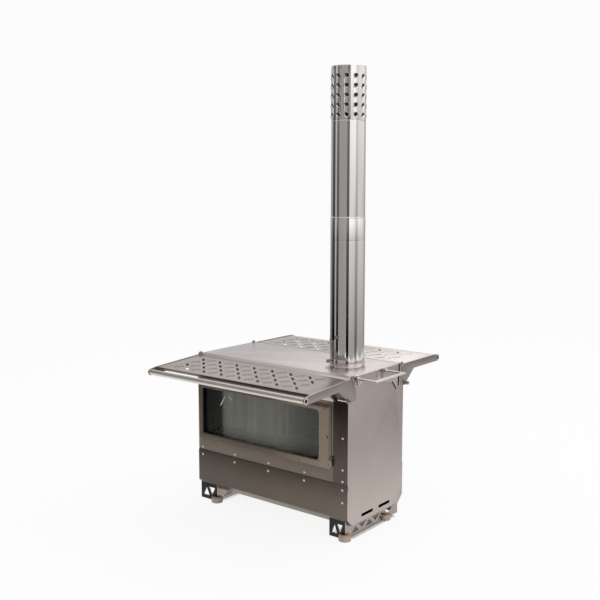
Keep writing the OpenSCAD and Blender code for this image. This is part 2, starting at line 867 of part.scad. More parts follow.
module leg_frame_left() { leg_frame(leg_left_x, leg_return_left); }
module leg_frame_right() { leg_frame(leg_right_x, leg_return_right); }

// Round pads, slotted for the leg frames that stand in them
module foot_pads() {
  slit = leg_t + 0.2;
  color("peru") for (x = [leg_left_x, leg_right_x]) for (y = [pad_front_y, pad_back_y])
    difference() {
      translate([x - 1, y, 0]) cylinder(h = pad_h, r = pad_d / 2);
      translate([x - slit / 2, y < 0 ? -leg_half - 0.1 : y - pad_d, leg_lift])
        cube([slit, 2 * pad_d, pad_h]);
      translate([x - pad_d, -leg_half - 0.1, leg_lift]) cube([pad_d, slit, pad_h]);
    }
}

// ---------------------------------------------------------------- flue

module at_flue(z) { translate([flue_x, 0, z]) children(); }

module flue_collar() {
  below = 8;
  under = cooktop_h - sheet;
  color("silver") at_flue(0) rotate_extrude($fn = 96) {
    rect(collar_r - collar_wall, cooktop_h - below, collar_r, cooktop_h + collar_h);
    rect(collar_r, under - sheet, flue_r + collar_flange, under);
  }
}

module pipe_lower() {
  color("gainsboro") difference() {
    at_flue(lower_foot) tube(bore_r, flue_r, lower_top - lower_foot, $fn = 96);
    at_flue(cooktop_h + damper_h) rotate(damper_az) x_rod(-flue_d, 2 * flue_d, spindle_r + running);
  }
}

module pipe_clamp() {
  r0 = flue_r + running;
  color("silver") at_flue(clamp_foot) {
    tube(r0, r0 + clamp_wall, clamp_h, $fn = 96);
    rotate(clamp_az) for (s = [-1, 1]) difference() {
      translate([r0 + 0.2, s * 2 - 0.75, 0.5 * (clamp_h - ear_h)])
        cube([ear_reach + 1, 1.5, ear_h]);
      translate([r0 + 1 + ear_reach / 2, 0, clamp_h / 2]) y_rod(-5, 10, 1.6);
    }
  }
}

module clamp_bolt() {
  x = flue_r + 1 + ear_reach / 2 + running;
  color("gray") at_flue(clamp_foot + clamp_h / 2) rotate(clamp_az) translate([x, 0, 0]) {
    y_rod(-5, 10, 1.5);
    y_rod(-6.5, 2.5, 2.8, $fn = 6);
    y_rod(3.2, 2.5, 2.8, $fn = 6);
  }
}

module damper_plate() {
  reach = bore_r - 2;
  color("silver") difference() {
    at_flue(cooktop_h + damper_h) rotate(damper_az) rotate([90, 0, 0]) translate([0, 0, -0.75])
      cylinder(h = 1.5, r = reach);
    at_flue(cooktop_h + damper_h) rotate(damper_az) x_rod(-flue_d, 2 * flue_d, spindle_r);
  }
}

module damper_spindle() {
  color("dimgray") at_flue(cooktop_h + damper_h) rotate(damper_az) {
    x_rod(-flue_r - 1, 2 * flue_r + 2.5, spindle_r);
    x_rod(flue_r + 1.5, 3, spindle_r + 1);
  }
}

// The upper pipe plugs into the lower one and its bead rests on the rim
module pipe_upper() {
  seat = lower_top;
  color("gainsboro") at_flue(0) rotate_extrude($fn = 96) polygon([
    [upper_bore, upper_foot], [upper_r, upper_foot], [upper_r, seat], [flue_r, seat],
    [upper_r + bead, seat + 0.3 * bead_h], [upper_r + bead, seat + 0.7 * bead_h],
    [upper_r, seat + bead_h], [upper_r, upper_top], [upper_bore, upper_top]
  ]);
}

module spark_arrestor() {
  neck_r = upper_bore - running;
  color("gainsboro") difference() {
    at_flue(0) rotate(15) rotate_extrude($fn = 96) polygon([
      [neck_r - flue_wall, upper_top - neck_l], [neck_r, upper_top - neck_l],
      [neck_r, upper_top], [upper_r - 0.4, upper_top], [upper_r, upper_top + 1.5],
      [upper_r, arrestor_top],
      [upper_bore, arrestor_top], [upper_bore, upper_top + 2],
      [neck_r - flue_wall, upper_top + 2]
    ]);
    for (row = [0 : spark_rows - 1]) at_flue(arrestor_top - spark_drop - row * spark_pitch)
      for (i = [0 : spark_cols - 1]) rotate(i * 360 / spark_cols)
        x_rod(upper_bore - 4, 8, spark_hole_d / 2, $fn = 24);
  }
}

module arrestor_cap() {
  color("silver") at_flue(arrestor_top - 2) cylinder(h = 1, r = upper_bore - running, $fn = 96);
}

// ---------------------------------------------------------------- carry handle

module carry_handle() {
  x_out = half_l + end_reach;
  w = handle_bar_w;
  z = handle_z - handle_bar_t / 2;
  color("whitesmoke") difference() {
    union() {
      for (y = [handle_near, handle_far]) {
        translate([handle_pivot_x, y - w / 2, z])
          cube([x_out - handle_pivot_x, w, handle_bar_t]);
        translate([handle_pivot_x, 0, handle_z]) y_rod(y - w / 2, w, handle_eye_r);
      }
      translate([x_out - w, handle_near - w / 2, z])
        cube([w, handle_far - handle_near + w, handle_bar_t]);
    }
    translate([handle_pivot_x, 0, handle_z])
      y_rod(handle_near - w, handle_far - handle_near + 2 * w, handle_pin_r + running);
  }
}

// The cheek of each lug lies on the inner side of its handle arm
function lug_y(far) = far ? handle_far - handle_bar_w / 2 - gap - lug_t
                          : handle_near + handle_bar_w / 2 + gap;

module handle_lugs() {
  base_z = handle_z - 11;
  color("lightgray") for (far = [false, true]) {
    y = lug_y(far);
    difference() {
      union() {
        xz(y, lug_t) {
          rect(half_l, base_z - 6, handle_pivot_x - 2, handle_z + 2);
          translate([handle_pivot_x, handle_z]) circle(handle_eye_r);
          rect(half_l, handle_z - handle_eye_r, handle_pivot_x, handle_z + handle_eye_r);
        }
        translate([half_l, y + lug_t / 2 + (far ? -6 : 6), base_z]) rotate([90, 0, 90])
          linear_extrude(1.2) round_rect(-13, -8, 13, 8, 7.5);
      }
      translate([handle_pivot_x, 0, handle_z]) y_rod(y - 1, lug_t + 2, handle_pin_r + running);
    }
  }
}

module handle_pins() {
  reach = handle_bar_w + lug_t + 2 * gap;
  color("gray") translate([handle_pivot_x, 0, handle_z]) {
    y_rod(handle_near - handle_bar_w / 2 - gap, reach, handle_pin_r);
    y_rod(handle_near - handle_bar_w / 2 - gap - 1.2, 1.2, handle_pin_r + 1);
    y_rod(handle_far + handle_bar_w / 2 + gap - reach, reach, handle_pin_r);
    y_rod(handle_far + handle_bar_w / 2 + gap, 1.2, handle_pin_r + 1);
  }
}

// ---------------------------------------------------------------- nodes

cooktop();
front_panel();
back_panel();
right_end_panel();
left_end_panel();
lower_casing();
window_frame();
window_glass();
window_gasket();
glass_clips();
frame_screws();
frame_catch();
body_rivets();
cover_keepers();
shelf_pivots();
front_shelf_plate();
front_bracket_left();
front_bracket_right();
front_rail();
front_stop_pins();
front_pin_caps();
back_shelf_plate();
back_bracket_left();
back_bracket_right();
back_rail();
back_stop_pins();
back_pin_caps();
leg_frame_left();
leg_frame_right();
foot_pads();
flue_collar();
pipe_clamp();
clamp_bolt();
pipe_lower();
damper_plate();
damper_spindle();
pipe_upper();
spark_arrestor();
arrestor_cap();
carry_handle();
handle_lugs();
handle_pins();
fire_grate();
grate_ledges();
baffle_plate();
baffle_ledges();
ash_drawer();
drawer_front();
drawer_pull();
drawer_runners();
door_pan();
door_gasket();
door_knuckles();
hinge_lugs();
hinge_rod();
latch_lever();
latch_grip();
latch_keeper();
air_slider();
slider_guides();
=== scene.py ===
"""Looks of a tent wood stove with a side window, folding slotted shelves and a stacked flue.

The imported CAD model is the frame. Each sub-assembly below is a class that dresses its CAD nodes,
and models the pieces that a real stove has and the CAD model keeps plain. Lengths are in metres,
in the frame of the CAD model: X along the window side, Y from the window face to the back, Z up.
"""

from __future__ import annotations

import json
import logging
import math
from dataclasses import dataclass, field
from enum import Enum
from types import MappingProxyType
from typing import Callable, Iterable, Mapping, Sequence, Union

import bmesh
import bpy
from mathutils import Matrix, Vector
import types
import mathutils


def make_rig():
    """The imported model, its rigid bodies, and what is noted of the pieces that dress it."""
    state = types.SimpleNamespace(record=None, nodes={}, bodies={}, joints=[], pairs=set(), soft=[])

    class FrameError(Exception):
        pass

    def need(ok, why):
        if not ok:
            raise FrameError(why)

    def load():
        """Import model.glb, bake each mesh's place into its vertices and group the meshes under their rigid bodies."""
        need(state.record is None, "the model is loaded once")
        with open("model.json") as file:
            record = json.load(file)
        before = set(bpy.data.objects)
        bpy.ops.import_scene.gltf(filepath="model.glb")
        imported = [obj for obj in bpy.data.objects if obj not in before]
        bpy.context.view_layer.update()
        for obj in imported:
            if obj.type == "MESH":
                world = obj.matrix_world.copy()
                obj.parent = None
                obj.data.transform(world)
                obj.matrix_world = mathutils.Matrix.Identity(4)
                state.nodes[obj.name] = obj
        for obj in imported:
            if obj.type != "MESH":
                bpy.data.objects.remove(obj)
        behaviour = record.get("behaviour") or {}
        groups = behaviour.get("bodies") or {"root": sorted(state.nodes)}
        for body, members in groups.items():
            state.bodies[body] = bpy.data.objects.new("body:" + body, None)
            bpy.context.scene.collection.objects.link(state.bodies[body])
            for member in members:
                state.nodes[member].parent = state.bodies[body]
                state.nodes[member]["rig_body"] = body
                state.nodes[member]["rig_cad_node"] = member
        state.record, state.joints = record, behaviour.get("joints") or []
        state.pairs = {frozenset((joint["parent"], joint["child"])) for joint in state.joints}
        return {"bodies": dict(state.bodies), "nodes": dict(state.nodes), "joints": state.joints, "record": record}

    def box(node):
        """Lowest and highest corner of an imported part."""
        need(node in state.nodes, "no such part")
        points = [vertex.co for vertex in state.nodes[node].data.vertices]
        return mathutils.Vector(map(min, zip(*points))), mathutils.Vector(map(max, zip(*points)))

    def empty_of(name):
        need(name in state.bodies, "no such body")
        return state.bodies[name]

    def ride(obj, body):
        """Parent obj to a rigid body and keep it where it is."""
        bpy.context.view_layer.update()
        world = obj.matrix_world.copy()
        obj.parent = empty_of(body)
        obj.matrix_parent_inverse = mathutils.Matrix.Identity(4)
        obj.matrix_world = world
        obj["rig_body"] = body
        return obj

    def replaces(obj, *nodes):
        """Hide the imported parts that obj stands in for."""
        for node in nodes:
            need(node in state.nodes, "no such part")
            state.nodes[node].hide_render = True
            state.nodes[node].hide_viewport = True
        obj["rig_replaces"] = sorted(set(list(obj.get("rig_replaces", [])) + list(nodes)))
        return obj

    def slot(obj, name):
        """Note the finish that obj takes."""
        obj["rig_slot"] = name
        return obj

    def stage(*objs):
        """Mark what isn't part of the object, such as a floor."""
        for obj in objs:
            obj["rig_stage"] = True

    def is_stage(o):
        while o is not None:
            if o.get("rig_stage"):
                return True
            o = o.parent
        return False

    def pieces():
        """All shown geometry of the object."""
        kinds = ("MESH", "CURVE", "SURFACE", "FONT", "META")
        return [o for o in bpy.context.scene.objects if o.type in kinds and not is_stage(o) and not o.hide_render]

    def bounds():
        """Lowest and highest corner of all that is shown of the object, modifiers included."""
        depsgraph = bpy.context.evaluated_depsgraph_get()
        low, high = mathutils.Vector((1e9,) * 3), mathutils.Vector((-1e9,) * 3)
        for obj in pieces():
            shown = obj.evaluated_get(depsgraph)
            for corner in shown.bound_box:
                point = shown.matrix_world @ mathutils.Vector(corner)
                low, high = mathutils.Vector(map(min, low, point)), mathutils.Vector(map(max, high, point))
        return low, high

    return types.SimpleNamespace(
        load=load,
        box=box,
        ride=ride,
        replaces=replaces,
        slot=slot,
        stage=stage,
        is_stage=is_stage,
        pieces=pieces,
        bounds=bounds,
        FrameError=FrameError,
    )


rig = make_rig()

LOG = logging.getLogger("stove")
MM = 0.001
FULL_TURN = math.tau
SHARP_ANGLE = math.radians(35)
FLAT_ANGLE = math.radians(0.5)
SIZE_FILE = "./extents.json"

Mesh, Vert, Face = bmesh.types.BMesh, bmesh.types.BMVert, bmesh.types.BMFace
Colour = tuple[float, float, float]
Profile = Iterable[tuple[float, float]]


class Axis(Enum):
    """A direction of the frame, used for the grain of a sheet and the line of a turned piece."""

    X = 0
    Y = 1
    Z = 2

    def unit(self) -> Vector:
        """The unit vector along this axis."""
        return Vector([1.0 if i == self.value else 0.0 for i in range(3)])

    def stretch(self, across: float, along: float) -> tuple[float, float, float]:
        """Scales of a pattern drawn out along this axis, from its repeats per metre both ways."""
        return tuple(along if i == self.value else across for i in range(3))


class Facing(Enum):
    """The way a face of a folded sheet looks, as its normal."""

    FRONT = (0.0, -1.0, 0.0)
    BACK = (0.0, 1.0, 0.0)
    LEFT = (-1.0, 0.0, 0.0)
    RIGHT = (1.0, 0.0, 0.0)
    TOP = (0.0, 0.0, 1.0)
    BELOW = (0.0, 0.0, -1.0)
    FRONT_SLANT = (0.0, -0.447, 0.894)
    BACK_SLANT = (0.0, 0.447, 0.894)
    FRONT_TUCK = (0.0, -0.707, -0.707)

    @property
    def way(self) -> Vector:
        """The normal as a vector."""
        return Vector(self.value)

    def holds(self, normal: Vector) -> bool:
        """Whether a face with this normal looks this way, within about 18 degrees."""
        return normal.dot(self.way) > 0.95


# ---------------------------------------------------------------- shader maths


def operator(operation: str, reflected: bool = False) -> Callable[[Value, Operand], Value]:
    """Makes an operator of Value that adds a Math node, with its operands swapped if reflected.

    Args:
        operation: The node's operation.
        reflected: Whether the operands change places.

    Returns:
        The method.
    """

    def method(self: Value, other: Operand) -> Value:
        """Adds the Math node."""
        a, b = (other, self) if reflected else (self, other)
        return self.graph.node("ShaderNodeMath", {"operation": operation}, {0: a, 1: b})

    return method


class Value:
    """One output of a shader node. Python's operators on it add Math nodes."""

    def __init__(self, graph: Graph, socket: bpy.types.NodeSocket) -> None:
        """Wraps a socket of a graph's node."""
        self.graph = graph
        self.socket = socket

    __add__, __radd__ = operator("ADD"), operator("ADD", reflected=True)
    __sub__, __rsub__ = operator("SUBTRACT"), operator("SUBTRACT", reflected=True)
    __mul__, __rmul__ = operator("MULTIPLY"), operator("MULTIPLY", reflected=True)
    __gt__ = operator("GREATER_THAN")


Operand = Union[float, Value]


class Graph:
    """The node tree of a material or the world."""

    def __init__(self, tree: bpy.types.NodeTree) -> None:
        """Empties the tree."""
        self.tree = tree
        tree.nodes.clear()

    def node(
        self, kind: str, settings: dict | None = None, inputs: dict | None = None, output: int | str = 0
    ) -> Value:
        """Adds a node.

        Args:
            kind: The node's type.
            settings: Its properties, set before its sockets. "stops" are a ramp's places and colours.
            inputs: Values or links of its sockets, by name or number.
            output: Which output is returned.

        Returns:
            The chosen output.
        """
        made = self.tree.nodes.new(kind)
        for name, value in (settings or {}).items():
            if name == "stops":
                self._set_stops(made.color_ramp, value)
            else:
                setattr(made, name, value)
        for key, value in (inputs or {}).items():
            if isinstance(value, Value):
                self.tree.links.new(value.socket, made.inputs[key])
            else:
                made.inputs[key].default_value = value
        return Value(self, made.outputs[output])

    @staticmethod
    def _set_stops(ramp: bpy.types.ColorRamp, stops: Sequence[tuple[float, float]]) -> None:
        """Sets a ramp's stops, each a place and a grey level.

        Args:
            ramp: The node's ramp.
            stops: The places and levels.
        """
        while len(ramp.elements) < len(stops):
            ramp.elements.new(1.0)
        for element, (place, level) in zip(ramp.elements, stops):
            element.position = place
            element.color = (level, level, level, 1.0)

    def noise(self, scale: Sequence[float], detail: float = 2.0, roughness: float = 0.5) -> Value:
        """Noise in object coordinates.

        Args:
            scale: Repeats per metre along X, Y and Z.
            detail: Octaves of finer noise.
            roughness: How strong the finer octaves are.

        Returns:
            The noise, about 0.5 on average.
        """
        place = self.node("ShaderNodeTexCoord", output="Object")
        mapped = self.node("ShaderNodeMapping", inputs={"Vector": place, "Scale": tuple(scale)})
        return self.node(
            "ShaderNodeTexNoise",
            inputs={"Vector": mapped, "Scale": 1.0, "Detail": detail, "Roughness": roughness},
        )

    def coordinate(self, axis: Axis) -> Value:
        """One object coordinate, in metres."""
        place = self.node("ShaderNodeTexCoord", output="Object")
        return self.node("ShaderNodeSeparateXYZ", inputs={0: place}, output=axis.value)

    def between(self, value: Value, start: float, end: float) -> Value:
        """0 before one level of a value, 1 after another, and a straight change between them."""
        return self.node("ShaderNodeMapRange", inputs={"Value": value, "From Min": start, "From Max": end})

    def along(self, axis: Axis, start: float, end: float) -> Value:
        """0 before one place on an axis, 1 after another, and a straight change between them."""
        return self.between(self.coordinate(axis), start, end)

    def ramp(self, factor: Value, stops: Sequence[tuple[float, float]]) -> Value:
        """A curve of grey levels over a factor."""
        return self.node("ShaderNodeValToRGB", {"stops": stops}, {"Fac": factor})

    def blend(self, factor: Operand, a: Colour | Value, b: Colour | Value) -> Value:
        """Mixes two colours, the first where the factor is 0 and the second where it is 1.

        Args:
            factor: 0 for the first colour, 1 for the second.
            a: The first colour.
            b: The second colour.

        Returns:
            The mixed colour.
        """
        first, second = (c if isinstance(c, Value) else (*c, 1.0) for c in (a, b))
        return self.node(
            "ShaderNodeMix",
            {"data_type": "RGBA", "clamp_factor": True},
            {0: factor, 6: first, 7: second},
            output=2,
        )

    def bump(self, height: Value, depth: float) -> Value:
        """A normal from a height, of which 1 is so many metres deep."""
        return self.node("ShaderNodeBump", inputs={"Height": height, "Distance": depth})

    def surface(self, **inputs: Operand) -> Value:
        """Adds a Principled shader, whose sockets are named with underscores for spaces."""
        named = {key.replace("_", " "): value for key, value in inputs.items()}
        return self.node("ShaderNodeBsdfPrincipled", inputs=named)

    def close(self, shader: Value, kind: str = "ShaderNodeOutputMaterial") -> None:
        """Links the shader to the tree's output."""
        made = self.tree.nodes.new(kind)
        self.tree.links.new(shader.socket, made.inputs["Surface"])


# ---------------------------------------------------------------- finishes


def tinted(colour: Colour, gain: float, lift: float = 0.0) -> Colour:
    """A colour made lighter or darker, up to white."""
    return tuple(min(1.0, c * gain + lift) for c in colour)


@dataclass(frozen=True)
class Finish:
    """What a surface is made of. Each kind of finish builds its own nodes."""

    name: str

    def shade(self, graph: Graph) -> Value:
        """Builds the nodes of the finish and returns its shader."""
        raise NotImplementedError

    def material(self) -> bpy.types.Material:
        """The finish's material, made the first time it is asked for.

        Returns:
            The material.
        """
        found = bpy.data.materials.get(self.name)
        if found:
            return found
        made = bpy.data.materials.new(self.name)
        made.use_nodes = True
        graph = Graph(made.node_tree)
        graph.close(self.shade(graph))
        return made


@dataclass(frozen=True)
class LightFade:
    """A slow change of tone along an axis: painted light and shade, lighter where more light falls."""

    axis: Axis
    start: float
    end: float
    gain: float


@dataclass(frozen=True)
class BrushedSteel(Finish):
    """Satin stainless sheet with a grain in one direction."""

    tone: Colour
    grain: Axis
    roughness: float = 0.34
    mottle: float = 0.3
    light_fades: tuple[LightFade, ...] = ()

    def shade(self, graph: Graph) -> Value:
        """Fine scratches along the grain over cloudy patches left by rolling and handling, under fades of painted
        light and shade.

        Args:
            graph: The material's node tree.

        Returns:
            The shader.
        """
        fine = graph.noise(self.grain.stretch(across=1500.0, along=12.0), detail=3.0)
        broad = graph.noise(self.grain.stretch(across=190.0, along=3.0), detail=2.0)
        cloud = graph.noise((6.0, 6.0, 6.0), detail=3.0)
        smudge = graph.noise((31.0, 27.0, 29.0), detail=4.0, roughness=0.6)
        streak = fine * 0.55 + broad * 0.45
        shift = (streak - 0.5) * 0.9 + (cloud - 0.5) * 1.1 + (smudge - 0.5) * 0.35 + 0.5
        dark, light = (tinted(self.tone, 1.0 + sign * self.mottle) for sign in (-1, 1))
        colour = graph.blend(shift, dark, light)
        # Painted light and shade: each fade scales the tone along an axis, lighter where more light falls.
        for light_fade in self.light_fades:
            gain = graph.along(light_fade.axis, light_fade.start, light_fade.end) * (light_fade.gain - 1.0) + 1.0
            colour = graph.node("ShaderNodeVectorMath", {"operation": "SCALE"}, {0: colour, "Scale": gain})
        return graph.surface(
            Base_Color=colour,
            Metallic=1.0,
            Roughness=self.roughness + (streak - 0.5) * 0.2 + (smudge - 0.5) * 0.16,
            Normal=graph.bump(streak, 0.03 * MM),
        )


@dataclass(frozen=True)
class PolishedSteel(Finish):
    """Mirror-polished tube, never quite round, with faint smears."""

    tone: Colour
    wave: float = 0.5

    def shade(self, graph: Graph) -> Value:
        """Long shallow waves down the tube that draw its reflections into streaks, and darker streaks in its colour as
        painted reflection.

        Args:
            graph: The material's node tree.

        Returns:
            The shader.
        """
        flats = graph.noise(Axis.Z.stretch(across=24.0, along=1.6), detail=1.0)
        dents = graph.noise((14.0, 14.0, 7.0), detail=1.0)
        smear = graph.noise(Axis.Z.stretch(across=60.0, along=9.0), detail=4.0)
        # Painted reflection: darker streaks down the tube in its colour, adding to the streaks mirrored from the
        # cards.
        shade = graph.noise(Axis.Z.stretch(across=36.0, along=2.2), detail=2.0)
        dark = tinted(self.tone, 0.84)
        return graph.surface(
            Base_Color=graph.blend(graph.ramp(shade, [(0.36, 0.0), (0.6, 1.0)]), dark, self.tone),
            Metallic=1.0,
            Roughness=0.03 + graph.ramp(smear, [(0.35, 0.0), (0.75, 1.0)]) * 0.07,
            Normal=graph.bump(flats + dents * 0.5, self.wave * MM),
        )


@dataclass(frozen=True)
class HeatPaint(Finish):
    """Matt heat-proof paint or blackened steel."""

    tone: Colour
    roughness: float = 0.5

    def shade(self, graph: Graph) -> Value:
        """An even colour with the skin's fine texture and some wear.

        Args:
            graph: The material's node tree.

        Returns:
            The shader.
        """
        skin = graph.noise((900.0, 900.0, 900.0), detail=2.0)
        wear = graph.noise((70.0, 70.0, 70.0), detail=5.0, roughness=0.65)
        worn = graph.ramp(wear, [(0.55, 0.0), (0.72, 1.0)])
        bare = tinted(self.tone, 2.6, 0.05)
        return graph.surface(
            Base_Color=graph.blend(worn * 0.5, self.tone, bare),
            Metallic=worn * 0.4,
            Roughness=self.roughness + (wear - 0.5) * 0.3,
            Normal=graph.bump(skin, 0.05 * MM),
        )


@dataclass(frozen=True)
class FireGlass(Finish):
    """Clear ceramic pane with a faint tint and a matt grey film on its middle, a painted reflection that lightens the
    pane.

    The film spreads from start to end along X, and thins out over the sill's heights. The index of
    refraction is under real glass, which keeps the mirrored floor as faint as in the photograph.
    """

    tone: Colour
    film: Colour
    start: float
    end: float
    sill: tuple[float, float] = (0.172, 0.205)
    ior: float = 1.15

    def shade(self, graph: Graph) -> Value:
        """Clear glass under a thin matt film in upright wiping streaks, thinnest at the door end: a painted
        reflection.

        Args:
            graph: The material's node tree.

        Returns:
            The shader.
        """
        wipe = graph.noise((60.0, 1.0, 2.5), detail=3.0, roughness=0.55)
        fine = graph.noise((300.0, 1.0, 8.0), detail=2.0)
        cover = graph.ramp(
            graph.along(Axis.X, self.start, self.end),
            [(0.0, 0.0), (0.16, 0.02), (0.21, 0.56), (0.6, 0.6), (0.86, 0.27), (1.0, 0.18)],
        )
        cover = cover * graph.ramp(graph.along(Axis.Z, *self.sill), [(0.0, 0.35), (1.0, 1.0)])
        glass = graph.surface(
            Base_Color=(*self.tone, 1.0),
            Roughness=0.01 + wipe * 0.03,
            Transmission_Weight=1.0,
            IOR=self.ior,
        )
        # Painted reflection: the matt grey film lightens the pane where it covers it.
        painted_veil = graph.surface(Base_Color=(*self.film, 1.0), Roughness=0.8, Specular_IOR_Level=0.1)
        streaks = graph.ramp(wipe * 0.75 + fine * 0.25, [(0.3, 0.72), (0.7, 1.12)])
        return graph.node("ShaderNodeMixShader", inputs={0: cover * streaks, 1: glass, 2: painted_veil})


@dataclass(frozen=True)
class GlassRope(Finish):
    """Knitted glass-fibre rope, grey from heat."""

    tone: Colour

    def shade(self, graph: Graph) -> Value:
        """A fuzzy knit.

        Args:
            graph: The material's node tree.

        Returns:
            The shader.
        """
        knit = graph.noise((1400.0, 1400.0, 1400.0), detail=2.0)
        soot = graph.noise((45.0, 45.0, 45.0), detail=3.0)
        dark = tinted(self.tone, 0.45)
        return graph.surface(
            Base_Color=graph.blend(knit * 0.6 + soot * 0.4, dark, self.tone),
            Roughness=0.85 + knit * 0.15,
            Normal=graph.bump(knit, 0.25 * MM),
        )


@dataclass(frozen=True)
class SiliconeRubber(Finish):
    """Matt moulded rubber that dust clings to."""

    tone: Colour

    def shade(self, graph: Graph) -> Value:
        """A moulded skin, dusty in patches and scuffed low down.

        Args:
            graph: The material's node tree.

        Returns:
            The shader.
        """
        skin = graph.noise((1100.0, 1100.0, 1100.0), detail=2.0)
        dust = graph.noise((120.0, 120.0, 60.0), detail=4.0)
        pale, dark = tinted(self.tone, 1.35, 0.04), tinted(self.tone, 0.7)
        low = graph.ramp(graph.coordinate(Axis.Z) * 200.0, [(0.0, 1.0), (1.0, 0.0)])
        return graph.surface(
            Base_Color=graph.blend(dust * 0.8 + low * 0.25, dark, pale),
            Roughness=0.6 + dust * 0.25,
            Normal=graph.bump(skin, 0.08 * MM),
        )


@dataclass(frozen=True)
class OiledWood(Finish):
    """Turned hardwood, grain along the piece."""

    tone: Colour
    grain: Axis

    def shade(self, graph: Graph) -> Value:
        """Growth rings drawn out along the grain, with open pores.

        Args:
            graph: The material's node tree.

        Returns:
            The shader.
        """
        rings = graph.noise(self.grain.stretch(across=260.0, along=14.0), detail=3.0)
        pores = graph.noise(self.grain.stretch(across=1700.0, along=60.0), detail=1.0)
        open_pore = graph.ramp(pores, [(0.3, 1.0), (0.42, 0.0)])
        dark = tinted(self.tone, 0.4)
        return graph.surface(
            Base_Color=graph.blend(
                graph.ramp(rings, [(0.3, 0.0), (0.7, 1.0)]) * (1.0 - open_pore * 0.6), dark, self.tone
            ),
            Roughness=0.42 + open_pore * 0.25,
            Coat_Weight=0.15,
            Normal=graph.bump(rings - open_pore * 0.4, 0.12 * MM),
        )


@dataclass(frozen=True)
class StudioFloor(Finish):
    """Pale floor that reads white to the camera and keeps the object's shadow."""

    share: float = 0.89
    matt: float = 0.93
    white: float = 1.0
    contact: float = 0.96
    feet: tuple[float, float] = (0.158, 0.226)
    feather: float = 0.03
    half_depth: float = 0.088

    def shade(self, graph: Graph) -> Value:
        """Part plain matt floor, which takes the shadow, and part even white.

        The white thins out under each leg frame, a painted shadow in the shape of their footprint, so that the matt
        floor's own shadow shows there.

        Args:
            graph: The material's node tree.

        Returns:
            The shader.
        """
        across, deep = (
            graph.node("ShaderNodeMath", {"operation": "ABSOLUTE"}, {0: graph.coordinate(axis)})
            for axis in (Axis.X, Axis.Y)
        )
        inner, outer = self.feet
        near = graph.between(across, inner, inner + self.feather)
        shaded = near * (1.0 - (across > outer)) * (1.0 - (deep > self.half_depth))
        seen = background_ray(graph) * (1.0 - shaded * self.contact)
        matt = graph.node("ShaderNodeBsdfDiffuse", inputs={"Color": (*[self.matt] * 3, 1.0)})
        white = graph.node("ShaderNodeEmission", inputs={"Color": (*[self.white] * 3, 1.0)})
        return graph.node("ShaderNodeMixShader", inputs={0: seen * self.share, 1: matt, 2: white})


@dataclass(frozen=True)
class CardPaper(Finish):
    """Grey card that stands round the stove for the steel to mirror, lit more at its top."""

    low: float
    high: float
    rise: tuple[float, float] = (0.1, 1.2)

    def shade(self, graph: Graph) -> Value:
        """A glow of the card's grey that grows upwards.

        Args:
            graph: The material's node tree.

        Returns:
            The shader.
        """
        glow = graph.blend(graph.along(Axis.Z, *self.rise), (self.low,) * 3, (self.high,) * 3)
        return graph.surface(
            Base_Color=(0.0, 0.0, 0.0, 1.0), Specular_IOR_Level=0.0, Roughness=1.0,
            Emission_Color=glow, Emission_Strength=1.0,
        )


def background_ray(graph: Graph) -> Value:
    """1 for a ray that shows the background: from the camera, off a mirror or through glass.

    Args:
        graph: The node tree.

    Returns:
        The mask.
    """
    rays = (
        graph.node("ShaderNodeLightPath", output=name)
        for name in ("Is Camera Ray", "Is Glossy Ray", "Is Transmission Ray")
    )
    return sum(rays, start=0.0) > 0.5


# Finishes of the object
# Painted light: the fade makes the cooktop lighter towards the flue end.
COOKTOP = BrushedSteel(
    "satin_cooktop", (0.395, 0.352, 0.343), Axis.X, roughness=0.3, mottle=0.13,
    light_fades=(LightFade(Axis.X, -0.1, 0.2, 1.85),),
)
COOKTOP_SLANT = BrushedSteel("satin_slant", (0.41, 0.37, 0.355), Axis.X, roughness=0.34, mottle=0.14)
SHELF = BrushedSteel("satin_shelf", (0.36, 0.315, 0.297), Axis.X, roughness=0.36, mottle=0.14)
# Painted light: the fade makes the back shelf lighter towards the flue end.
SHELF_BACK = BrushedSteel(
    "satin_back_shelf", (0.385, 0.353, 0.335), Axis.X, roughness=0.34, mottle=0.13,
    light_fades=(LightFade(Axis.X, -0.02, 0.2, 2.5),),
)
# Painted shade on the shelves' front faces, lightened towards the door end as painted light.
SHELF_RIM = BrushedSteel(
    "shaded_rim", (0.085, 0.07, 0.063), Axis.X, roughness=0.4, mottle=0.2,
    light_fades=(LightFade(Axis.X, -0.08, -0.1, 4.6),),
)
LIP = BrushedSteel("shaded_lip", (0.09, 0.072, 0.064), Axis.X, roughness=0.4, mottle=0.2)
RAIL = BrushedSteel("satin_rail", (0.68, 0.64, 0.59), Axis.X, roughness=0.36, mottle=0.08)
HANDLE = BrushedSteel("satin_handle", (0.7, 0.67, 0.64), Axis.Y, roughness=0.3, mottle=0.12)
# Painted highlight: light steel for rounded edges, end faces and tops of sheet, where light glints.
EDGE_HIGHLIGHT = BrushedSteel("painted_edge_highlight", (0.78, 0.75, 0.715), Axis.X, roughness=0.3, mottle=0.1)
# Painted light: the fades make the end panels lighter towards the bottom and towards the top.
END = BrushedSteel(
    "satin_end", (0.4, 0.345, 0.32), Axis.Z, roughness=0.42, mottle=0.12,
    light_fades=(LightFade(Axis.Z, 0.2, 0.06, 1.24), LightFade(Axis.Z, 0.26, 0.33, 1.2)),
)
BRACKET = BrushedSteel("satin_bracket", (0.3, 0.262, 0.242), Axis.Y, roughness=0.38, mottle=0.15)
# Painted shade: the window frame's steel is darkened; its fade lightens it towards the flue end as painted light.
FRAME = BrushedSteel(
    "satin_frame", (0.112, 0.089, 0.069), Axis.X, roughness=0.36, mottle=0.22,
    light_fades=(LightFade(Axis.X, 0.0, 0.16, 2.25),),
)
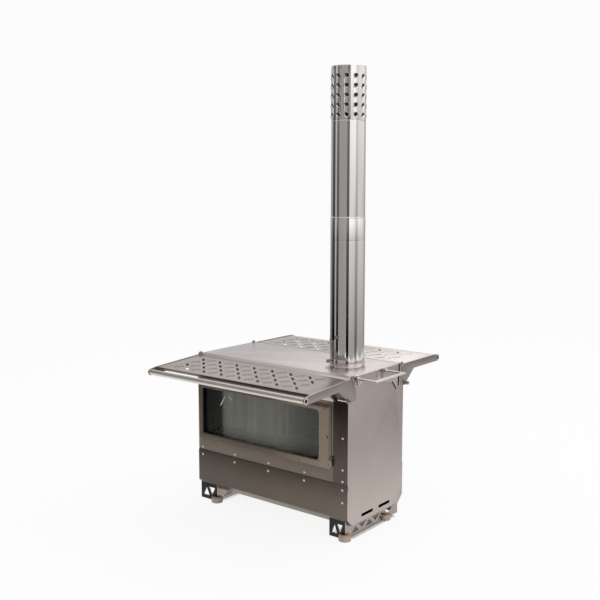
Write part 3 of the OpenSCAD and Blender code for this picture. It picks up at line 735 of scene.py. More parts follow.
# Painted shade: the front panel's steel is darker than the same steel elsewhere.
FRONT = BrushedSteel("satin_front", (0.175, 0.148, 0.12), Axis.X, roughness=0.38, mottle=0.22)
# Painted shade: the casing's front steel is darkened; its fades lighten it towards the flue end and the bottom as
# painted light.
CASING = BrushedSteel(
    "satin_casing", (0.098, 0.081, 0.067), Axis.X, roughness=0.38, mottle=0.2,
    light_fades=(LightFade(Axis.X, -0.15, 0.2, 1.28), LightFade(Axis.Z, 0.13, 0.07, 1.2)),
)
# Painted light: the casing's steel made lighter for its tucked-under faces and some rounded edges.
CASING_TUCK = BrushedSteel("satin_tuck", (0.2, 0.172, 0.146), Axis.X, roughness=0.38, mottle=0.2)
# Painted shade on the flue end's front flange, lighter towards the bottom, with a painted highlight along its top
# strip.
FLANGE = BrushedSteel(
    "shaded_flange", (0.033, 0.025, 0.022), Axis.Z, roughness=0.4, mottle=0.3,
    light_fades=(LightFade(Axis.Z, 0.3, 0.17, 3.2), LightFade(Axis.Z, 0.317, 0.319, 13.0)),
)
REAR = BrushedSteel("satin_rear", (0.38, 0.335, 0.31), Axis.X, roughness=0.4, mottle=0.14)
# Painted shade: near-black steel for the faces inside the closed firebox.
INSIDE = BrushedSteel("shaded_inside", (0.05, 0.05, 0.046), Axis.Z, roughness=0.42, mottle=0.4)
GRATE = BrushedSteel("grate_steel", (0.12, 0.12, 0.11), Axis.X, roughness=0.36, mottle=0.3)
LEG = BrushedSteel("satin_leg", (0.38, 0.33, 0.3), Axis.Z, roughness=0.4, mottle=0.2)
LEG_SHADE = BrushedSteel("shaded_leg", (0.04, 0.034, 0.03), Axis.X, roughness=0.42, mottle=0.3)
# Painted highlight: near-white steel for the keepers above the window and the back brackets' front faces.
LIT_BLOCK = BrushedSteel("painted_lit_block", (0.8, 0.77, 0.74), Axis.X, roughness=0.55, mottle=0.15)
# Painted light: near-white steel for the arrestor's inside and the upper faces of its hole rims.
LIT_LINER = BrushedSteel("painted_lit_liner", (0.9, 0.87, 0.85), Axis.Z, roughness=0.5, mottle=0.1)
STUD = BrushedSteel("bright_stud", (0.66, 0.64, 0.61), Axis.Z, roughness=0.26, mottle=0.1)
STEEL = BrushedSteel("plain_steel", (0.34, 0.315, 0.295), Axis.Z, roughness=0.36, mottle=0.14)
FLUE = PolishedSteel("polished_flue", (0.88, 0.83, 0.81))
BLACK = HeatPaint("black_fitting", (0.035, 0.033, 0.032))
PANE = FireGlass("fire_glass", (0.6, 0.64, 0.58), (0.31, 0.305, 0.272), -0.211, 0.149)
ROPE = GlassRope("gasket_rope", (0.2, 0.2, 0.195))
RUBBER = SiliconeRubber("foot_rubber", (0.47, 0.36, 0.28))
WOOD = OiledWood("grip_wood", (0.42, 0.23, 0.11), Axis.X)


# ---------------------------------------------------------------- pieces


@dataclass(frozen=True)
class Box:
    """The box of one solid of a CAD node."""

    low: Vector
    high: Vector

    @property
    def middle(self) -> Vector:
        """The box's centre."""
        return (self.low + self.high) / 2

    @property
    def size(self) -> Vector:
        """The box's three sides."""
        return self.high - self.low

    def turned(
        self, mesh: Mesh, shape: Profile, out: Vector, across: Axis, steps: int, ring: bool = False
    ) -> None:
        """Fills the box with a turned piece, whose profile is in shares of its radius and height."""
        r, h = self.size[across.value] / 2, abs(self.size.dot(out))
        lathe(mesh, [(a * r, b * h) for a, b in shape], self.middle - out * h / 2, out, steps, ring)


@dataclass
class Stove:
    """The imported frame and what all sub-assemblies use of it."""

    frame: dict = field(default_factory=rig.load)

    def __post_init__(self) -> None:
        """Notes the material slot that the record gives each node."""
        record = self.frame["record"]
        self.slots = {part["node"]: part["material_slot"] for part in record["subparts"]}

    def box(self, node: str) -> Box:
        """The box of a whole CAD node."""
        return Box(*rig.box(node))

    def merged(self, node: str) -> Mesh:
        """A copy of a CAD node's mesh with its loose triangles joined.

        Args:
            node: The CAD node.

        Returns:
            The copy.
        """
        mesh = bmesh.new()
        mesh.from_mesh(self.frame["nodes"][node].data)
        bmesh.ops.remove_doubles(mesh, verts=mesh.verts, dist=0.002 * MM)
        return mesh

    def solids(self, node: str) -> list[Box]:
        """The boxes of a node's separate solids, from the lowest corner up.

        Args:
            node: The CAD node.

        Returns:
            The boxes.
        """
        mesh, boxes = self.merged(node), []
        for group in linked(mesh.verts, touching):
            places = [vert.co for vert in group]
            low, high = (Vector([pick(p[i] for p in places) for i in range(3)]) for pick in (min, max))
            boxes.append(Box(low, high))
        mesh.free()
        return sorted(boxes, key=lambda box: tuple(round(c, 4) for c in box.low))

    def dress(self, finish: Finish, *nodes: str) -> None:
        """Gives CAD nodes a finish.

        Args:
            finish: The finish.
            nodes: The CAD nodes.
        """
        for node in nodes:
            thing = self.frame["nodes"][node]
            thing.data.materials.clear()
            thing.data.materials.append(finish.material())
            LOG.info("dressed %s in %s", node, finish.name)

    def body(self, node: str) -> str:
        """The name of the body that a node belongs to."""
        return self.frame["nodes"][node]["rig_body"]

    def add(self, name: str, mesh: Mesh, finish: Finish, like: str, instead: bool, *more: Finish) -> None:
        """Turns a bmesh into a piece that rides on a node's body.

        A mesh without any smooth face is shaded smooth all over, up to its sharp edges.

        Args:
            name: The piece's name.
            mesh: Its shape, which is used up.
            finish: Its finish, for faces of material index 0.
            like: The CAD node whose body and material slot it shares.
            instead: Whether it stands for that node.
            more: Finishes of the faces of material index 1 and up.
        """
        piece = solid(name, mesh, finish, *more)
        data = piece.data
        if not any(face.use_smooth for face in data.polygons):
            data.polygons.foreach_set("use_smooth", [True] * len(data.polygons))
        data.set_sharp_from_angle(angle=SHARP_ANGLE)
        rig.ride(piece, self.body(like))
        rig.slot(piece, self.slots[like])
        if instead:
            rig.replaces(piece, like)
        LOG.info("modelled %s, %d faces", name, len(data.polygons))

    def soften(
        self,
        finish: Finish,
        width: float,
        *nodes: str,
        edge: Finish | None = None,
        sides: Mapping[Facing, Finish] = MappingProxyType({}),
        change: Callable[[Mesh], None] | None = None,
    ) -> None:
        """Stands a copy with rounded edges in for each node, since cut sheet is deburred.

        Args:
            finish: The finish of the copies.
            width: How far each rounding reaches over the faces.
            nodes: The CAD nodes.
            edge: The finish of the roundings, if it is another.
            sides: Other finishes for the faces that look some way.
            change: What is done to each copy before its edges are rounded.
        """
        for node in nodes:
            mesh = self.merged(node)
            bmesh.ops.dissolve_limit(mesh, angle_limit=FLAT_ANGLE, verts=mesh.verts, edges=mesh.edges)
            if change:
                change(mesh)
            for number, facing in enumerate(sides, start=2):
                for face in mesh.faces:
                    if facing.holds(face.normal):
                        face.material_index = number
            for face in mesh.faces:
                face.smooth = any(FLAT_ANGLE < e.calc_face_angle(0.0) < SHARP_ANGLE for e in face.edges)
            sharp = [e for e in mesh.edges if e.is_manifold and e.calc_face_angle(0.0) > SHARP_ANGLE]
            for face in round_off(mesh, sharp, width):
                face.smooth = True
                face.material_index = 1 if edge else face.material_index
            split(mesh)
            more = (edge or finish, *sides.values())
            self.add(f"{node}_soft", mesh, finish, node, True, *more)


def placed(name: str, data: bpy.types.ID) -> bpy.types.Object:
    """Puts a new object into the scene.

    Args:
        name: Its name.
        data: Its mesh, lamp or camera.

    Returns:
        The object.
    """
    made = bpy.data.objects.new(name, data)
    bpy.context.scene.collection.objects.link(made)
    return made


def solid(name: str, mesh: Mesh, *finishes: Finish) -> bpy.types.Object:
    """Turns a bmesh, which is used up, into an object with some finishes.

    Args:
        name: Its name.
        mesh: Its shape.
        finishes: Its finishes, by material index.

    Returns:
        The object.
    """
    data = bpy.data.meshes.new(name)
    mesh.to_mesh(data)
    mesh.free()
    for finish in finishes:
        data.materials.append(finish.material())
    return placed(name, data)


def round_off(mesh: Mesh, edges: Sequence[bmesh.types.BMEdge], width: float) -> list[Face]:
    """Rounds edges off, and returns the faces of the roundings.

    Args:
        mesh: The mesh.
        edges: The edges.
        width: How far each rounding reaches over the faces.

    Returns:
        The new faces.
    """
    made = bmesh.ops.bevel(
        mesh, geom=edges, offset=width, offset_type="OFFSET", affect="EDGES", segments=2, profile=0.5,
        clamp_overlap=True, material=-1,
    )
    return made["faces"]


def split(mesh: Mesh) -> None:
    """Splits faces of more than four corners into triangles."""
    bmesh.ops.triangulate(mesh, faces=[face for face in mesh.faces if len(face.verts) > 4])


def reached(starts: Iterable, near: Callable, among: set | None = None) -> set:
    """Follows a mesh's parts from neighbour to neighbour.

    Args:
        starts: The vertices or faces to start from.
        near: What gives the neighbours of one.
        among: The ones that count, or all of them.

    Returns:
        The starts and all that hang together with them.
    """
    found = set(starts)
    edge = list(found)
    while edge:
        fresh = set(near(edge.pop())) - found
        fresh = fresh if among is None else fresh & among
        found |= fresh
        edge.extend(fresh)
    return found


def linked(things: Iterable, near: Callable) -> list[set]:
    """Sorts vertices or faces into groups that hang together.

    Args:
        things: The vertices or faces.
        near: What gives the neighbours of one.

    Returns:
        The groups.
    """
    waiting, groups = set(things), []
    while waiting:
        group = reached([waiting.pop()], near, waiting)
        waiting -= group
        groups.append(group)
    return groups


def touching(vert: Vert) -> list[Vert]:
    """The vertices at the other ends of a vertex's edges."""
    return [link.other_vert(vert) for link in vert.link_edges]


def islands(faces: Iterable[Face]) -> list[list[Vert]]:
    """The vertices of each group of faces that share edges."""
    groups = linked(faces, lambda face: {other for e in face.edges for other in e.link_faces})
    return [list({vert for face in group for vert in face.verts}) for group in groups]


def span(verts: Iterable[Vert], axis: Axis) -> float:
    """How far vertices reach along an axis."""
    places = [vert.co[axis.value] for vert in verts]
    return max(places) - min(places)


def centre(verts: Sequence[Vert]) -> Vector:
    """The mean place of some vertices."""
    return sum((vert.co for vert in verts), Vector()) / len(verts)


def outward(place: Vector, axis: Vector) -> Vector:
    """The level direction from an upright axis to a place."""
    return Vector((place.x - axis.x, place.y - axis.y, 0.0)).normalized()


def standing(foot: Vector, axis: Vector) -> Matrix:
    """What stands a thing that is drawn along Z on a point, along another axis."""
    return Matrix.Translation(foot) @ Axis.Z.unit().rotation_difference(axis).to_matrix().to_4x4()


def lathe(mesh: Mesh, profile: Profile, foot: Vector, axis: Vector, steps: int, ring: bool = False) -> None:
    """Spins a profile round an axis into a closed skin.

    Args:
        mesh: Where the skin is added.
        profile: Points as (distance from the axis, height along it), from pole to pole.
        foot: The point of the axis at height 0.
        axis: Its direction.
        steps: Facets round a full turn.
        ring: Whether the profile closes on itself instead of ending at the poles.
    """
    place = standing(foot, axis)
    verts = [mesh.verts.new(place @ Vector((r, 0.0, h))) for r, h in profile]
    pairs = zip(verts, verts[1:] + verts[:1]) if ring else zip(verts, verts[1:])
    edges = [mesh.edges.new(pair) for pair in pairs]
    made = bmesh.ops.spin(
        mesh, geom=verts + edges, cent=foot, axis=axis, angle=FULL_TURN, steps=steps,
        use_merge=True, use_duplicate=False,
    )
    new = {e for e in made["geom_last"] if isinstance(e, Vert)} | set(verts)
    bmesh.ops.remove_doubles(mesh, verts=list(reached(new, touching)), dist=0.001 * MM)
    bmesh.ops.recalc_face_normals(mesh, faces=mesh.faces)


class Drag:
    """Drags a round section along straights and turns."""

    def __init__(
        self, mesh: Mesh, start: Vector, heading: Vector, radius: float, steps: int = 16
    ) -> None:
        """Draws the first section.

        Args:
            mesh: Where the skin is added.
            start: The middle of the first section.
            heading: The way it is dragged first.
            radius: The section's radius.
            steps: Its facets.
        """
        self.mesh, self.place, self.heading = mesh, start.copy(), heading.copy()
        made = bmesh.ops.create_circle(mesh, segments=steps, radius=radius, matrix=standing(start, heading))
        self.section = made["verts"]
        self.first = list(self.section)

    def _advance(self, matrix: Matrix) -> None:
        """Extrudes the section and moves the new one by a matrix.

        Args:
            matrix: Where the new section goes, from the old one.
        """
        old = set(self.section)
        edges = {e for v in old for e in v.link_edges if e.other_vert(v) in old}
        made = bmesh.ops.extrude_edge_only(self.mesh, edges=list(edges))
        self.section = [v for v in made["geom"] if isinstance(v, Vert)]
        bmesh.ops.transform(self.mesh, matrix=matrix, verts=self.section)

    def pull(self, length: float) -> "Drag":
        """Goes straight on.

        Args:
            length: How far.

        Returns:
            This drag, so that calls can be strung together.
        """
        step = self.heading * length
        self._advance(Matrix.Translation(step))
        self.place += step
        return self

    def turn(self, axis: Vector, radius: float, steps: int = 6) -> "Drag":
        """Goes round a quarter turn about an axis, as a right hand's fingers curl.

        Args:
            axis: The axis.
            radius: The radius of the bend.
            steps: Sections in the bend.

        Returns:
            This drag, so that calls can be strung together.
        """
        centre = self.place + axis.cross(self.heading) * radius
        there, back = Matrix.Translation(centre), Matrix.Translation(-centre)
        for _ in range(steps):
            self._advance(there @ Matrix.Rotation(math.pi / 2 / steps, 4, axis) @ back)
        full = Matrix.Rotation(math.pi / 2, 3, axis)
        self.place = centre + full @ (self.place - centre)
        self.heading = full @ self.heading
        return self

    def close(self) -> None:
        """Closes both ends with a flat face each."""
        for ring in (self.first, self.section):
            bmesh.ops.contextual_create(self.mesh, geom=list(ring))
        bmesh.ops.recalc_face_normals(self.mesh, faces=self.mesh.faces)


# ---------------------------------------------------------------- sub-assemblies


@dataclass
class BodyShell:
    """Panels, lid, casing, rivets and the blocks above the window."""

    stove: Stove
    edge: float = 0.35 * MM
    fold: float = 0.7 * MM
    head_steps: int = 20

    def build(self) -> None:
        """Dresses the shell and models its rivets."""
        s = self.stove
        # Lit and shaded copies of the steel by facing: painted highlight on the lid's end faces, painted shade under
        # the lid, inside and on the front flange, and a lighter tuck under the casing's front.
        slants = {Facing.FRONT_SLANT: COOKTOP_SLANT, Facing.BACK_SLANT: COOKTOP_SLANT}
        lid = {**slants, Facing.RIGHT: EDGE_HIGHLIGHT, Facing.BELOW: INSIDE}
        s.soften(COOKTOP, self.edge, "cooktop", edge=EDGE_HIGHLIGHT, sides=lid)
        s.soften(FRONT, self.edge, "front_panel", edge=FRAME, sides={Facing.BACK: INSIDE})
        casing = {Facing.FRONT_TUCK: CASING_TUCK, Facing.BACK: REAR, Facing.RIGHT: END, Facing.LEFT: END}
        s.soften(CASING, self.edge, "lower_casing", edge=CASING_TUCK, sides=casing)
        end = {Facing.FRONT: FLANGE, Facing.LEFT: INSIDE}
        s.soften(END, self.fold, "right_end_panel", edge=EDGE_HIGHLIGHT, sides=end)
        s.soften(END, self.edge, "left_end_panel", edge=EDGE_HIGHLIGHT, sides={Facing.RIGHT: INSIDE})
        s.soften(REAR, self.edge, "back_panel", sides={Facing.FRONT: INSIDE})
        s.soften(LIT_BLOCK, self.edge, "cover_keepers", edge=EDGE_HIGHLIGHT)
        self.rivets()

    def rivets(self) -> None:
        """Domed heads with the dimple that the broken mandrel leaves."""
        mesh = bmesh.new()
        shape = [
            (0.0, 0.0), (1.0, 0.0), (1.0, 0.25), (0.88, 0.6), (0.66, 0.9), (0.42, 1.0), (0.36, 0.94),
            (0.3, 0.35), (0.0, 0.35),
        ]
        for box in self.stove.solids("body_rivets"):
            out = Facing.FRONT if box.middle.y < 0 else Facing.BACK
            box.turned(mesh, shape, out.way, Axis.X, self.head_steps)
        self.stove.add("rivet_heads", mesh, STUD, "body_rivets", True)


@dataclass
class SideWindow:
    """Frame, pane, seal, clips and screws of the window."""

    stove: Stove
    edge: float = 0.6 * MM

    def build(self) -> None:
        """Dresses the window and models its screws."""
        s = self.stove
        # Painted highlight on the frame's top faces, and lighter steel on its rounded edges as painted light.
        s.soften(FRAME, self.edge, "window_frame", edge=CASING_TUCK, sides={Facing.TOP: EDGE_HIGHLIGHT})
        s.dress(PANE, "window_glass")
        s.dress(ROPE, "window_gasket")
        s.dress(INSIDE, "glass_clips")
        s.soften(FRAME, 0.3 * MM, "frame_catch", edge=STUD)
        self.screws()

    def screws(self) -> None:
        """Pan heads with a socket. The lone one on the frame's right member is blackened."""
        bright, dark = bmesh.new(), bmesh.new()
        heads = self.stove.solids("frame_screws")
        right = max(box.middle.x for box in heads)
        shape = [
            (0.0, 0.0), (1.0, 0.0), (1.0, 0.35), (0.85, 0.8), (0.55, 1.0), (0.45, 1.0), (0.42, 0.3),
            (0.0, 0.3),
        ]
        for box in heads:
            mesh = dark if box.middle.x == right else bright
            box.turned(mesh, shape, Facing.FRONT.way, Axis.X, 18)
        self.stove.add("frame_screw_heads", bright, STEEL, "frame_screws", True)
        self.stove.add("frame_stud", dark, BLACK, "frame_screws", False)


@dataclass
class Firebox:
    """Grate, baffle and ledges."""

    stove: Stove

    def build(self) -> None:
        """Dresses the inside."""
        self.stove.soften(GRATE, 0.4 * MM, "fire_grate", "baffle_plate", edge=STEEL)
        self.stove.dress(INSIDE, "grate_ledges", "baffle_ledges", "drawer_runners")


@dataclass
class Shelves:
    """Both folding shelves and the studs that they turn on."""

    stove: Stove
    edge: float = 0.3 * MM

    def build(self) -> None:
        """Dresses the plates, brackets, rails and pins of each side."""
        s = self.stove
        # Lit and shaded copies of the steel by facing: painted shade on the plates' front and lower faces, painted
        # highlights on their ends and the brackets' tops, and on the brackets' front faces painted shade at the front
        # shelf and a painted highlight at the back one.
        rims = {Facing.FRONT: SHELF_RIM, Facing.BACK: SHELF, Facing.RIGHT: EDGE_HIGHLIGHT, Facing.LEFT: EDGE_HIGHLIGHT}
        for side, plate, nose in (("front", SHELF, LIP), ("back", SHELF_BACK, LIT_BLOCK)):
            arms = {Facing.TOP: EDGE_HIGHLIGHT, Facing.BELOW: LIP, Facing.FRONT: nose}
            s.soften(plate, self.edge, f"{side}_shelf_plate", sides={**rims, Facing.BELOW: LIP})
            s.soften(
                BRACKET, self.edge, f"{side}_bracket_left", f"{side}_bracket_right", edge=EDGE_HIGHLIGHT, sides=arms
            )
            s.dress(RAIL, f"{side}_rail", f"{side}_stop_pins")
            self.caps(side)
        s.soften(STEEL, self.edge, "shelf_pivots", edge=EDGE_HIGHLIGHT)

    def caps(self, side: str) -> None:
        """Moulded caps on the stop pins of one shelf, round-nosed with a grip ring.

        Args:
            side: The shelf's side, front or back.
        """
        mesh = bmesh.new()
        shape = [
            (0.0, 0.0), (0.92, 0.0), (1.0, 0.08), (1.0, 0.2), (0.88, 0.28), (0.88, 0.36), (1.0, 0.44),
            (1.0, 0.7), (0.86, 0.88), (0.6, 0.97), (0.0, 1.0),
        ]
        for box in self.stove.solids(f"{side}_pin_caps"):
            out = Facing.RIGHT if box.middle.x > 0 else Facing.LEFT
            box.turned(mesh, shape, out.way, Axis.Z, 20)
        self.stove.add(f"{side}_cap_set", mesh, STEEL, f"{side}_pin_caps", True)


@dataclass
class Flue:
    """Collar, clamp, pipes, damper and spark arrestor."""

    stove: Stove
    wall: float = 0.6 * MM
    groove_z: float = 0.655
    groove_half: float = 2.6 * MM
    groove_depth: float = 0.12 * MM
    bead_z: float = 0.706
    bead_high: float = 0.9 * MM
    bead_half: float = 1.2 * MM
    roll: float = 0.7 * MM
    seam_r: float = 1.1 * MM
    seam_proud: float = 0.15 * MM
    seam_azimuth: float = math.radians(128)
    seam_spans: tuple[tuple[str, float, float], ...] = (
        ("pipe_lower", 0.02, 0.318), ("pipe_upper", 0.078, 0.29), ("spark_arrestor", 0.034, 0.05),
    )
    hole_span: tuple[float, float] = (5 * MM, 15 * MM)
    hole_rim: tuple[tuple[float, float], ...] = (
        (0.8, -0.6), (0.6, 0.02), (0.2, 0.14), (-0.3, 0.0), (-1.0, -0.6), (-2.2, -2.0), (-2.6, -2.8),
        (-2.4, -3.0), (0.4, -1.2),
    )
    steps: int = 128

    def build(self) -> None:
        """Dresses the flue and models its pipes, seams and rolled rim."""
        s = self.stove
        s.dress(FLUE, "flue_collar", "arrestor_cap")
        s.soften(FLUE, 0.25 * MM, "pipe_clamp")
        s.soften(STEEL, 0.3 * MM, "clamp_bolt", edge=EDGE_HIGHLIGHT)
        s.dress(STEEL, "damper_plate", "damper_spindle")
        self.lower_pipe()
        self.upper_pipe()
        self.arrestor()
        self.seams()
        self.rim()

    def foot(self, node: str) -> tuple[Vector, float, float]:
        """The middle of a pipe's foot, its radius and its height."""
        box = self.stove.box(node)
        return Vector((box.middle.x, box.middle.y, box.low.z)), box.size.x / 2, box.size.z

    def spun(self, name: str, node: str, profile: Profile, instead: bool = True) -> None:
        """Models a ring of the flue, whose heights are over the foot of a node's pipe.

        Args:
            name: The ring's name.
            node: The CAD node of its pipe.
            profile: Its profile.
            instead: Whether it stands for that node.
        """
        mesh = bmesh.new()
        lathe(mesh, profile, self.foot(node)[0], Axis.Z.unit(), self.steps, ring=True)
        self.stove.add(name, mesh, FLUE, node, instead)

    def lower_pipe(self) -> None:
        """The lowest pipe, with a pressed ring that stiffens it and a rolled upper edge."""
        foot, r, h = self.foot("pipe_lower")
        ring = self.groove_z - foot.z
        arc = [
            (r - self.groove_depth * math.cos(k * math.pi / 8) ** 2, ring + k * self.groove_half / 4)
            for k in range(-4, 5)
        ]
        profile = [(r - self.wall, 0.0), (r, 0.0), *arc, (r, h - 0.5 * MM), (r - 0.2 * MM, h)]
        self.spun("pipe_lower_ringed", "pipe_lower", [*profile, (r - self.wall, h)])

    def upper_pipe(self) -> None:
        """The middle pipe, whose rolled bead rests on the rim of the lowest one."""
        foot, _, h = self.foot("pipe_upper")
        r = self.foot("spark_arrestor")[1]
        middle = self.bead_z - foot.z + self.bead_half
        turns = [k * math.pi / 8 for k in range(9)]
        arc = [(r + self.bead_high * math.sin(t), middle - self.bead_half * math.cos(t)) for t in turns]
        profile = [(r - self.wall, 0.0), (r, 0.0), *arc, (r, h), (r - self.wall, h)]
        self.spun("pipe_upper_beaded", "pipe_upper", profile)

    def arrestor(self) -> None:
        """The perforated pipe, whose punched holes have rolled rims, with painted light on the pipe's inside and the
        rims' upper faces and painted shade on their lower faces.
        """
        mesh = self.stove.merged("spark_arrestor")
        axis, r, _ = self.foot("spark_arrestor")
        walls = []
        for face in mesh.faces:
            across = face.normal.dot(outward(face.calc_center_median(), axis))
            # Painted light: the faces inside the pipe take the bright liner steel.
            if across < -0.5:
                face.material_index = 1
            elif across < 0.5:
                walls.append(face)
        low, high = self.hole_span
        holes = [verts for verts in islands(walls) if low < span(verts, Axis.Z) < high]
        rims = bmesh.new()
        for verts in holes:
            middle = centre(verts)
            out = outward(middle, axis)
            reach = span(verts, Axis.Z) / 2
            foot = Vector((axis.x, axis.y, middle.z)) + out * r
            profile = [(reach + a * MM, b * MM) for a, b in self.hole_rim]
            lathe(rims, profile, foot, out, 24, ring=True)
        # Painted highlight on the rims' upward faces and painted shade on their downward faces.
        for face in rims.faces:
            face.material_index = 1 if face.normal.z > 0.1 else 2 if face.normal.z < -0.1 else 0
        LOG.info("rolled the rims of %d holes", len(holes))
        self.stove.add("arrestor_shell", mesh, FLUE, "spark_arrestor", True, LIT_LINER)
        self.stove.add("arrestor_hole_rims", rims, FLUE, "spark_arrestor", False, LIT_LINER, LIP)

    def seams(self) -> None:
        """The welded long seam of each pipe, a low bead at the back."""
        out = Matrix.Rotation(self.seam_azimuth, 3, "Z") @ Axis.X.unit()
        for node, start, end in self.seam_spans:
            foot, r, _ = self.foot(node)
            r = min(r, self.foot("spark_arrestor")[1]) if node != "pipe_lower" else r
            mesh = bmesh.new()
            place = foot + out * (r + self.seam_proud - self.seam_r) + Axis.Z.unit() * start
            line = Drag(mesh, place, Axis.Z.unit(), self.seam_r, 12)
            for _ in range(8):
                line.pull((end - start) / 8)
            line.close()
            self.stove.add(f"{node}_seam", mesh, FLUE, node, False)

    def rim(self) -> None:
        """The arrestor's rolled upper edge."""
        _, r, h = self.foot("spark_arrestor")
        turns = [k * FULL_TURN / 12 for k in range(12)]
        middle, top, roll = r - 0.3 * MM, h - self.roll, self.roll
        profile = [(middle + roll * math.cos(t), top + roll * math.sin(t)) for t in turns]
        self.spun("arrestor_rim", "spark_arrestor", profile, instead=False)


@dataclass
class Legs:
    """Truss frames and their pads."""

    stove: Stove
    edge: float = 0.25 * MM
    sheet: float = 2.5 * MM
    draw_in: float = 0.72

    def build(self) -> None:
        """Models the frames with their sturdier members and dresses the pads."""
        sides = {Facing.FRONT: LEG_SHADE, Facing.LEFT: LEG_SHADE, Facing.BELOW: LIP}
        self.stove.soften(
            LEG, self.edge, "leg_frame_left", "leg_frame_right", edge=EDGE_HIGHLIGHT, sides=sides, change=self.brace
        )
        self.stove.soften(RUBBER, 0.8 * MM, "foot_pads")

    def brace(self, mesh: Mesh) -> None:
        """Draws in the rims of the cut-outs of a frame's plates, which face X and Y.

        Args:
            mesh: The frame's copy.
        """
        for axis in (Axis.X, Axis.Y):
            walls = [face for face in mesh.faces if abs(face.normal[axis.value]) < 0.1]
            for verts in islands(walls):
                if span(verts, axis) < self.sheet:
                    scale = [1.0 if i == axis.value else self.draw_in for i in range(3)]
                    place = Matrix.Translation(-centre(verts))
                    bmesh.ops.scale(mesh, vec=scale, space=place, verts=verts)


@dataclass
class CarryHandle:
    """The folding bar at the flue end."""

    stove: Stove
    rivet_r: float = 2.2 * MM
    rivet_t: float = 0.9 * MM
    rivet_out: float = 9.5 * MM
    rivet_up: float = 8.0 * MM
    lug_t: float = 1.2 * MM

    def build(self) -> None:
        """Dresses the bar, its lugs and pins, and models the lugs' rivets."""
        s = self.stove
        # Painted shade: the bar's faces that look to the front take the darker bracket steel.
        s.soften(HANDLE, 0.5 * MM, "carry_handle", edge=EDGE_HIGHLIGHT, sides={Facing.FRONT: BRACKET})
        s.soften(END, 0.3 * MM, "handle_lugs", edge=EDGE_HIGHLIGHT)
        s.soften(STEEL, 0.25 * MM, "handle_pins", edge=EDGE_HIGHLIGHT)
        mesh = bmesh.new()
        wall = self.stove.box("handle_lugs").low.x
        for box in s.solids("handle_lugs"):
            for side in (-1, 1):
                y = box.middle.y + side * self.rivet_out
                foot = Vector((wall + self.lug_t, y, box.low.z + self.rivet_up))
                r, t = self.rivet_r, self.rivet_t
                profile = [(0.0, 0.0), (r, 0.0), (0.9 * r, 0.55 * t), (0.5 * r, 0.95 * t), (0.0, t)]
                lathe(mesh, profile, foot, Axis.X.unit(), 16)
        s.add("lug_rivets", mesh, STUD, "handle_lugs", False)


@dataclass
class LoadingDoor:
    """Door, hinge, latch and air shutter."""

    stove: Stove
    rope_r: float = 2.5 * MM
    rope_bend: float = 7.0 * MM

    def build(self) -> None:
        """Dresses the door's pieces and models its rope and grip."""
        s = self.stove
        s.soften(REAR, 0.8 * MM, "door_pan", edge=EDGE_HIGHLIGHT, sides={Facing.RIGHT: INSIDE})
        s.soften(STEEL, 0.3 * MM, "door_knuckles", "hinge_lugs", "latch_keeper", edge=EDGE_HIGHLIGHT)
        s.soften(BRACKET, 0.3 * MM, "slider_guides", edge=EDGE_HIGHLIGHT)
        s.soften(STUD, 0.3 * MM, "hinge_rod")
        s.soften(STEEL, 0.4 * MM, "latch_lever", edge=EDGE_HIGHLIGHT)
        s.soften(SHELF, 0.4 * MM, "air_slider", edge=EDGE_HIGHLIGHT)
        self.rope()
        self.grip()

    def rope(self) -> None:
        """The rope seal, one loop with rounded corners, pressed a little flat."""
        box = self.stove.box("door_gasket")
        out, up, bend = Axis.Y.unit(), Axis.Z.unit(), self.rope_bend
        wide, tall = (side - 2 * self.rope_r - 2 * bend for side in (box.size.y, box.size.z))
        mesh = bmesh.new()
        start = Vector((box.middle.x, box.middle.y, box.low.z + self.rope_r))
        line = Drag(mesh, start, out, self.rope_r)
        x_axis = out.cross(up)
        for length in (wide / 2, tall, wide, tall):
            line.pull(length).turn(x_axis, bend)
        line.pull(wide / 2)
        bmesh.ops.remove_doubles(mesh, verts=mesh.verts, dist=0.02 * MM)
        flat = Matrix.Diagonal((box.size.x / 2 / self.rope_r, 1, 1, 1))
        middle = Matrix.Translation((box.middle.x, 0, 0))
        bmesh.ops.transform(mesh, matrix=middle @ flat @ middle.inverted(), verts=mesh.verts)
        bmesh.ops.recalc_face_normals(mesh, faces=mesh.faces)
        self.stove.add("door_rope", mesh, ROPE, "door_gasket", True)

    def grip(self) -> None:
        """The latch's turned grip with two grooves, and the ferrule at its neck."""
        box, out = self.stove.box("latch_grip"), Facing.LEFT.way
        shape = [
            (0.0, 0.0), (0.4, 0.0), (0.42, 0.06), (0.5, 0.11), (0.66, 0.18), (0.8, 0.26), (0.86, 0.3),
            (0.82, 0.315), (0.88, 0.33), (0.95, 0.4), (1.0, 0.52), (1.0, 0.62), (0.98, 0.7),
            (0.93, 0.715), (0.96, 0.73), (0.92, 0.84), (0.8, 0.93), (0.58, 0.98), (0.3, 0.998), (0.0, 1.0),
        ]
        mesh = bmesh.new()
        box.turned(mesh, shape, out, Axis.Y, 40)
        self.stove.add("turned_grip", mesh, WOOD, "latch_grip", True)
        mesh = bmesh.new()
        shape = [(0.3, 0.0), (0.46, 0.0), (0.56, 0.01), (0.58, 0.05), (0.54, 0.07), (0.3, 0.07)]
        box.turned(mesh, shape, out, Axis.Y, 32, ring=True)
        self.stove.add("grip_ferrule", mesh, STUD, "latch_grip", False)


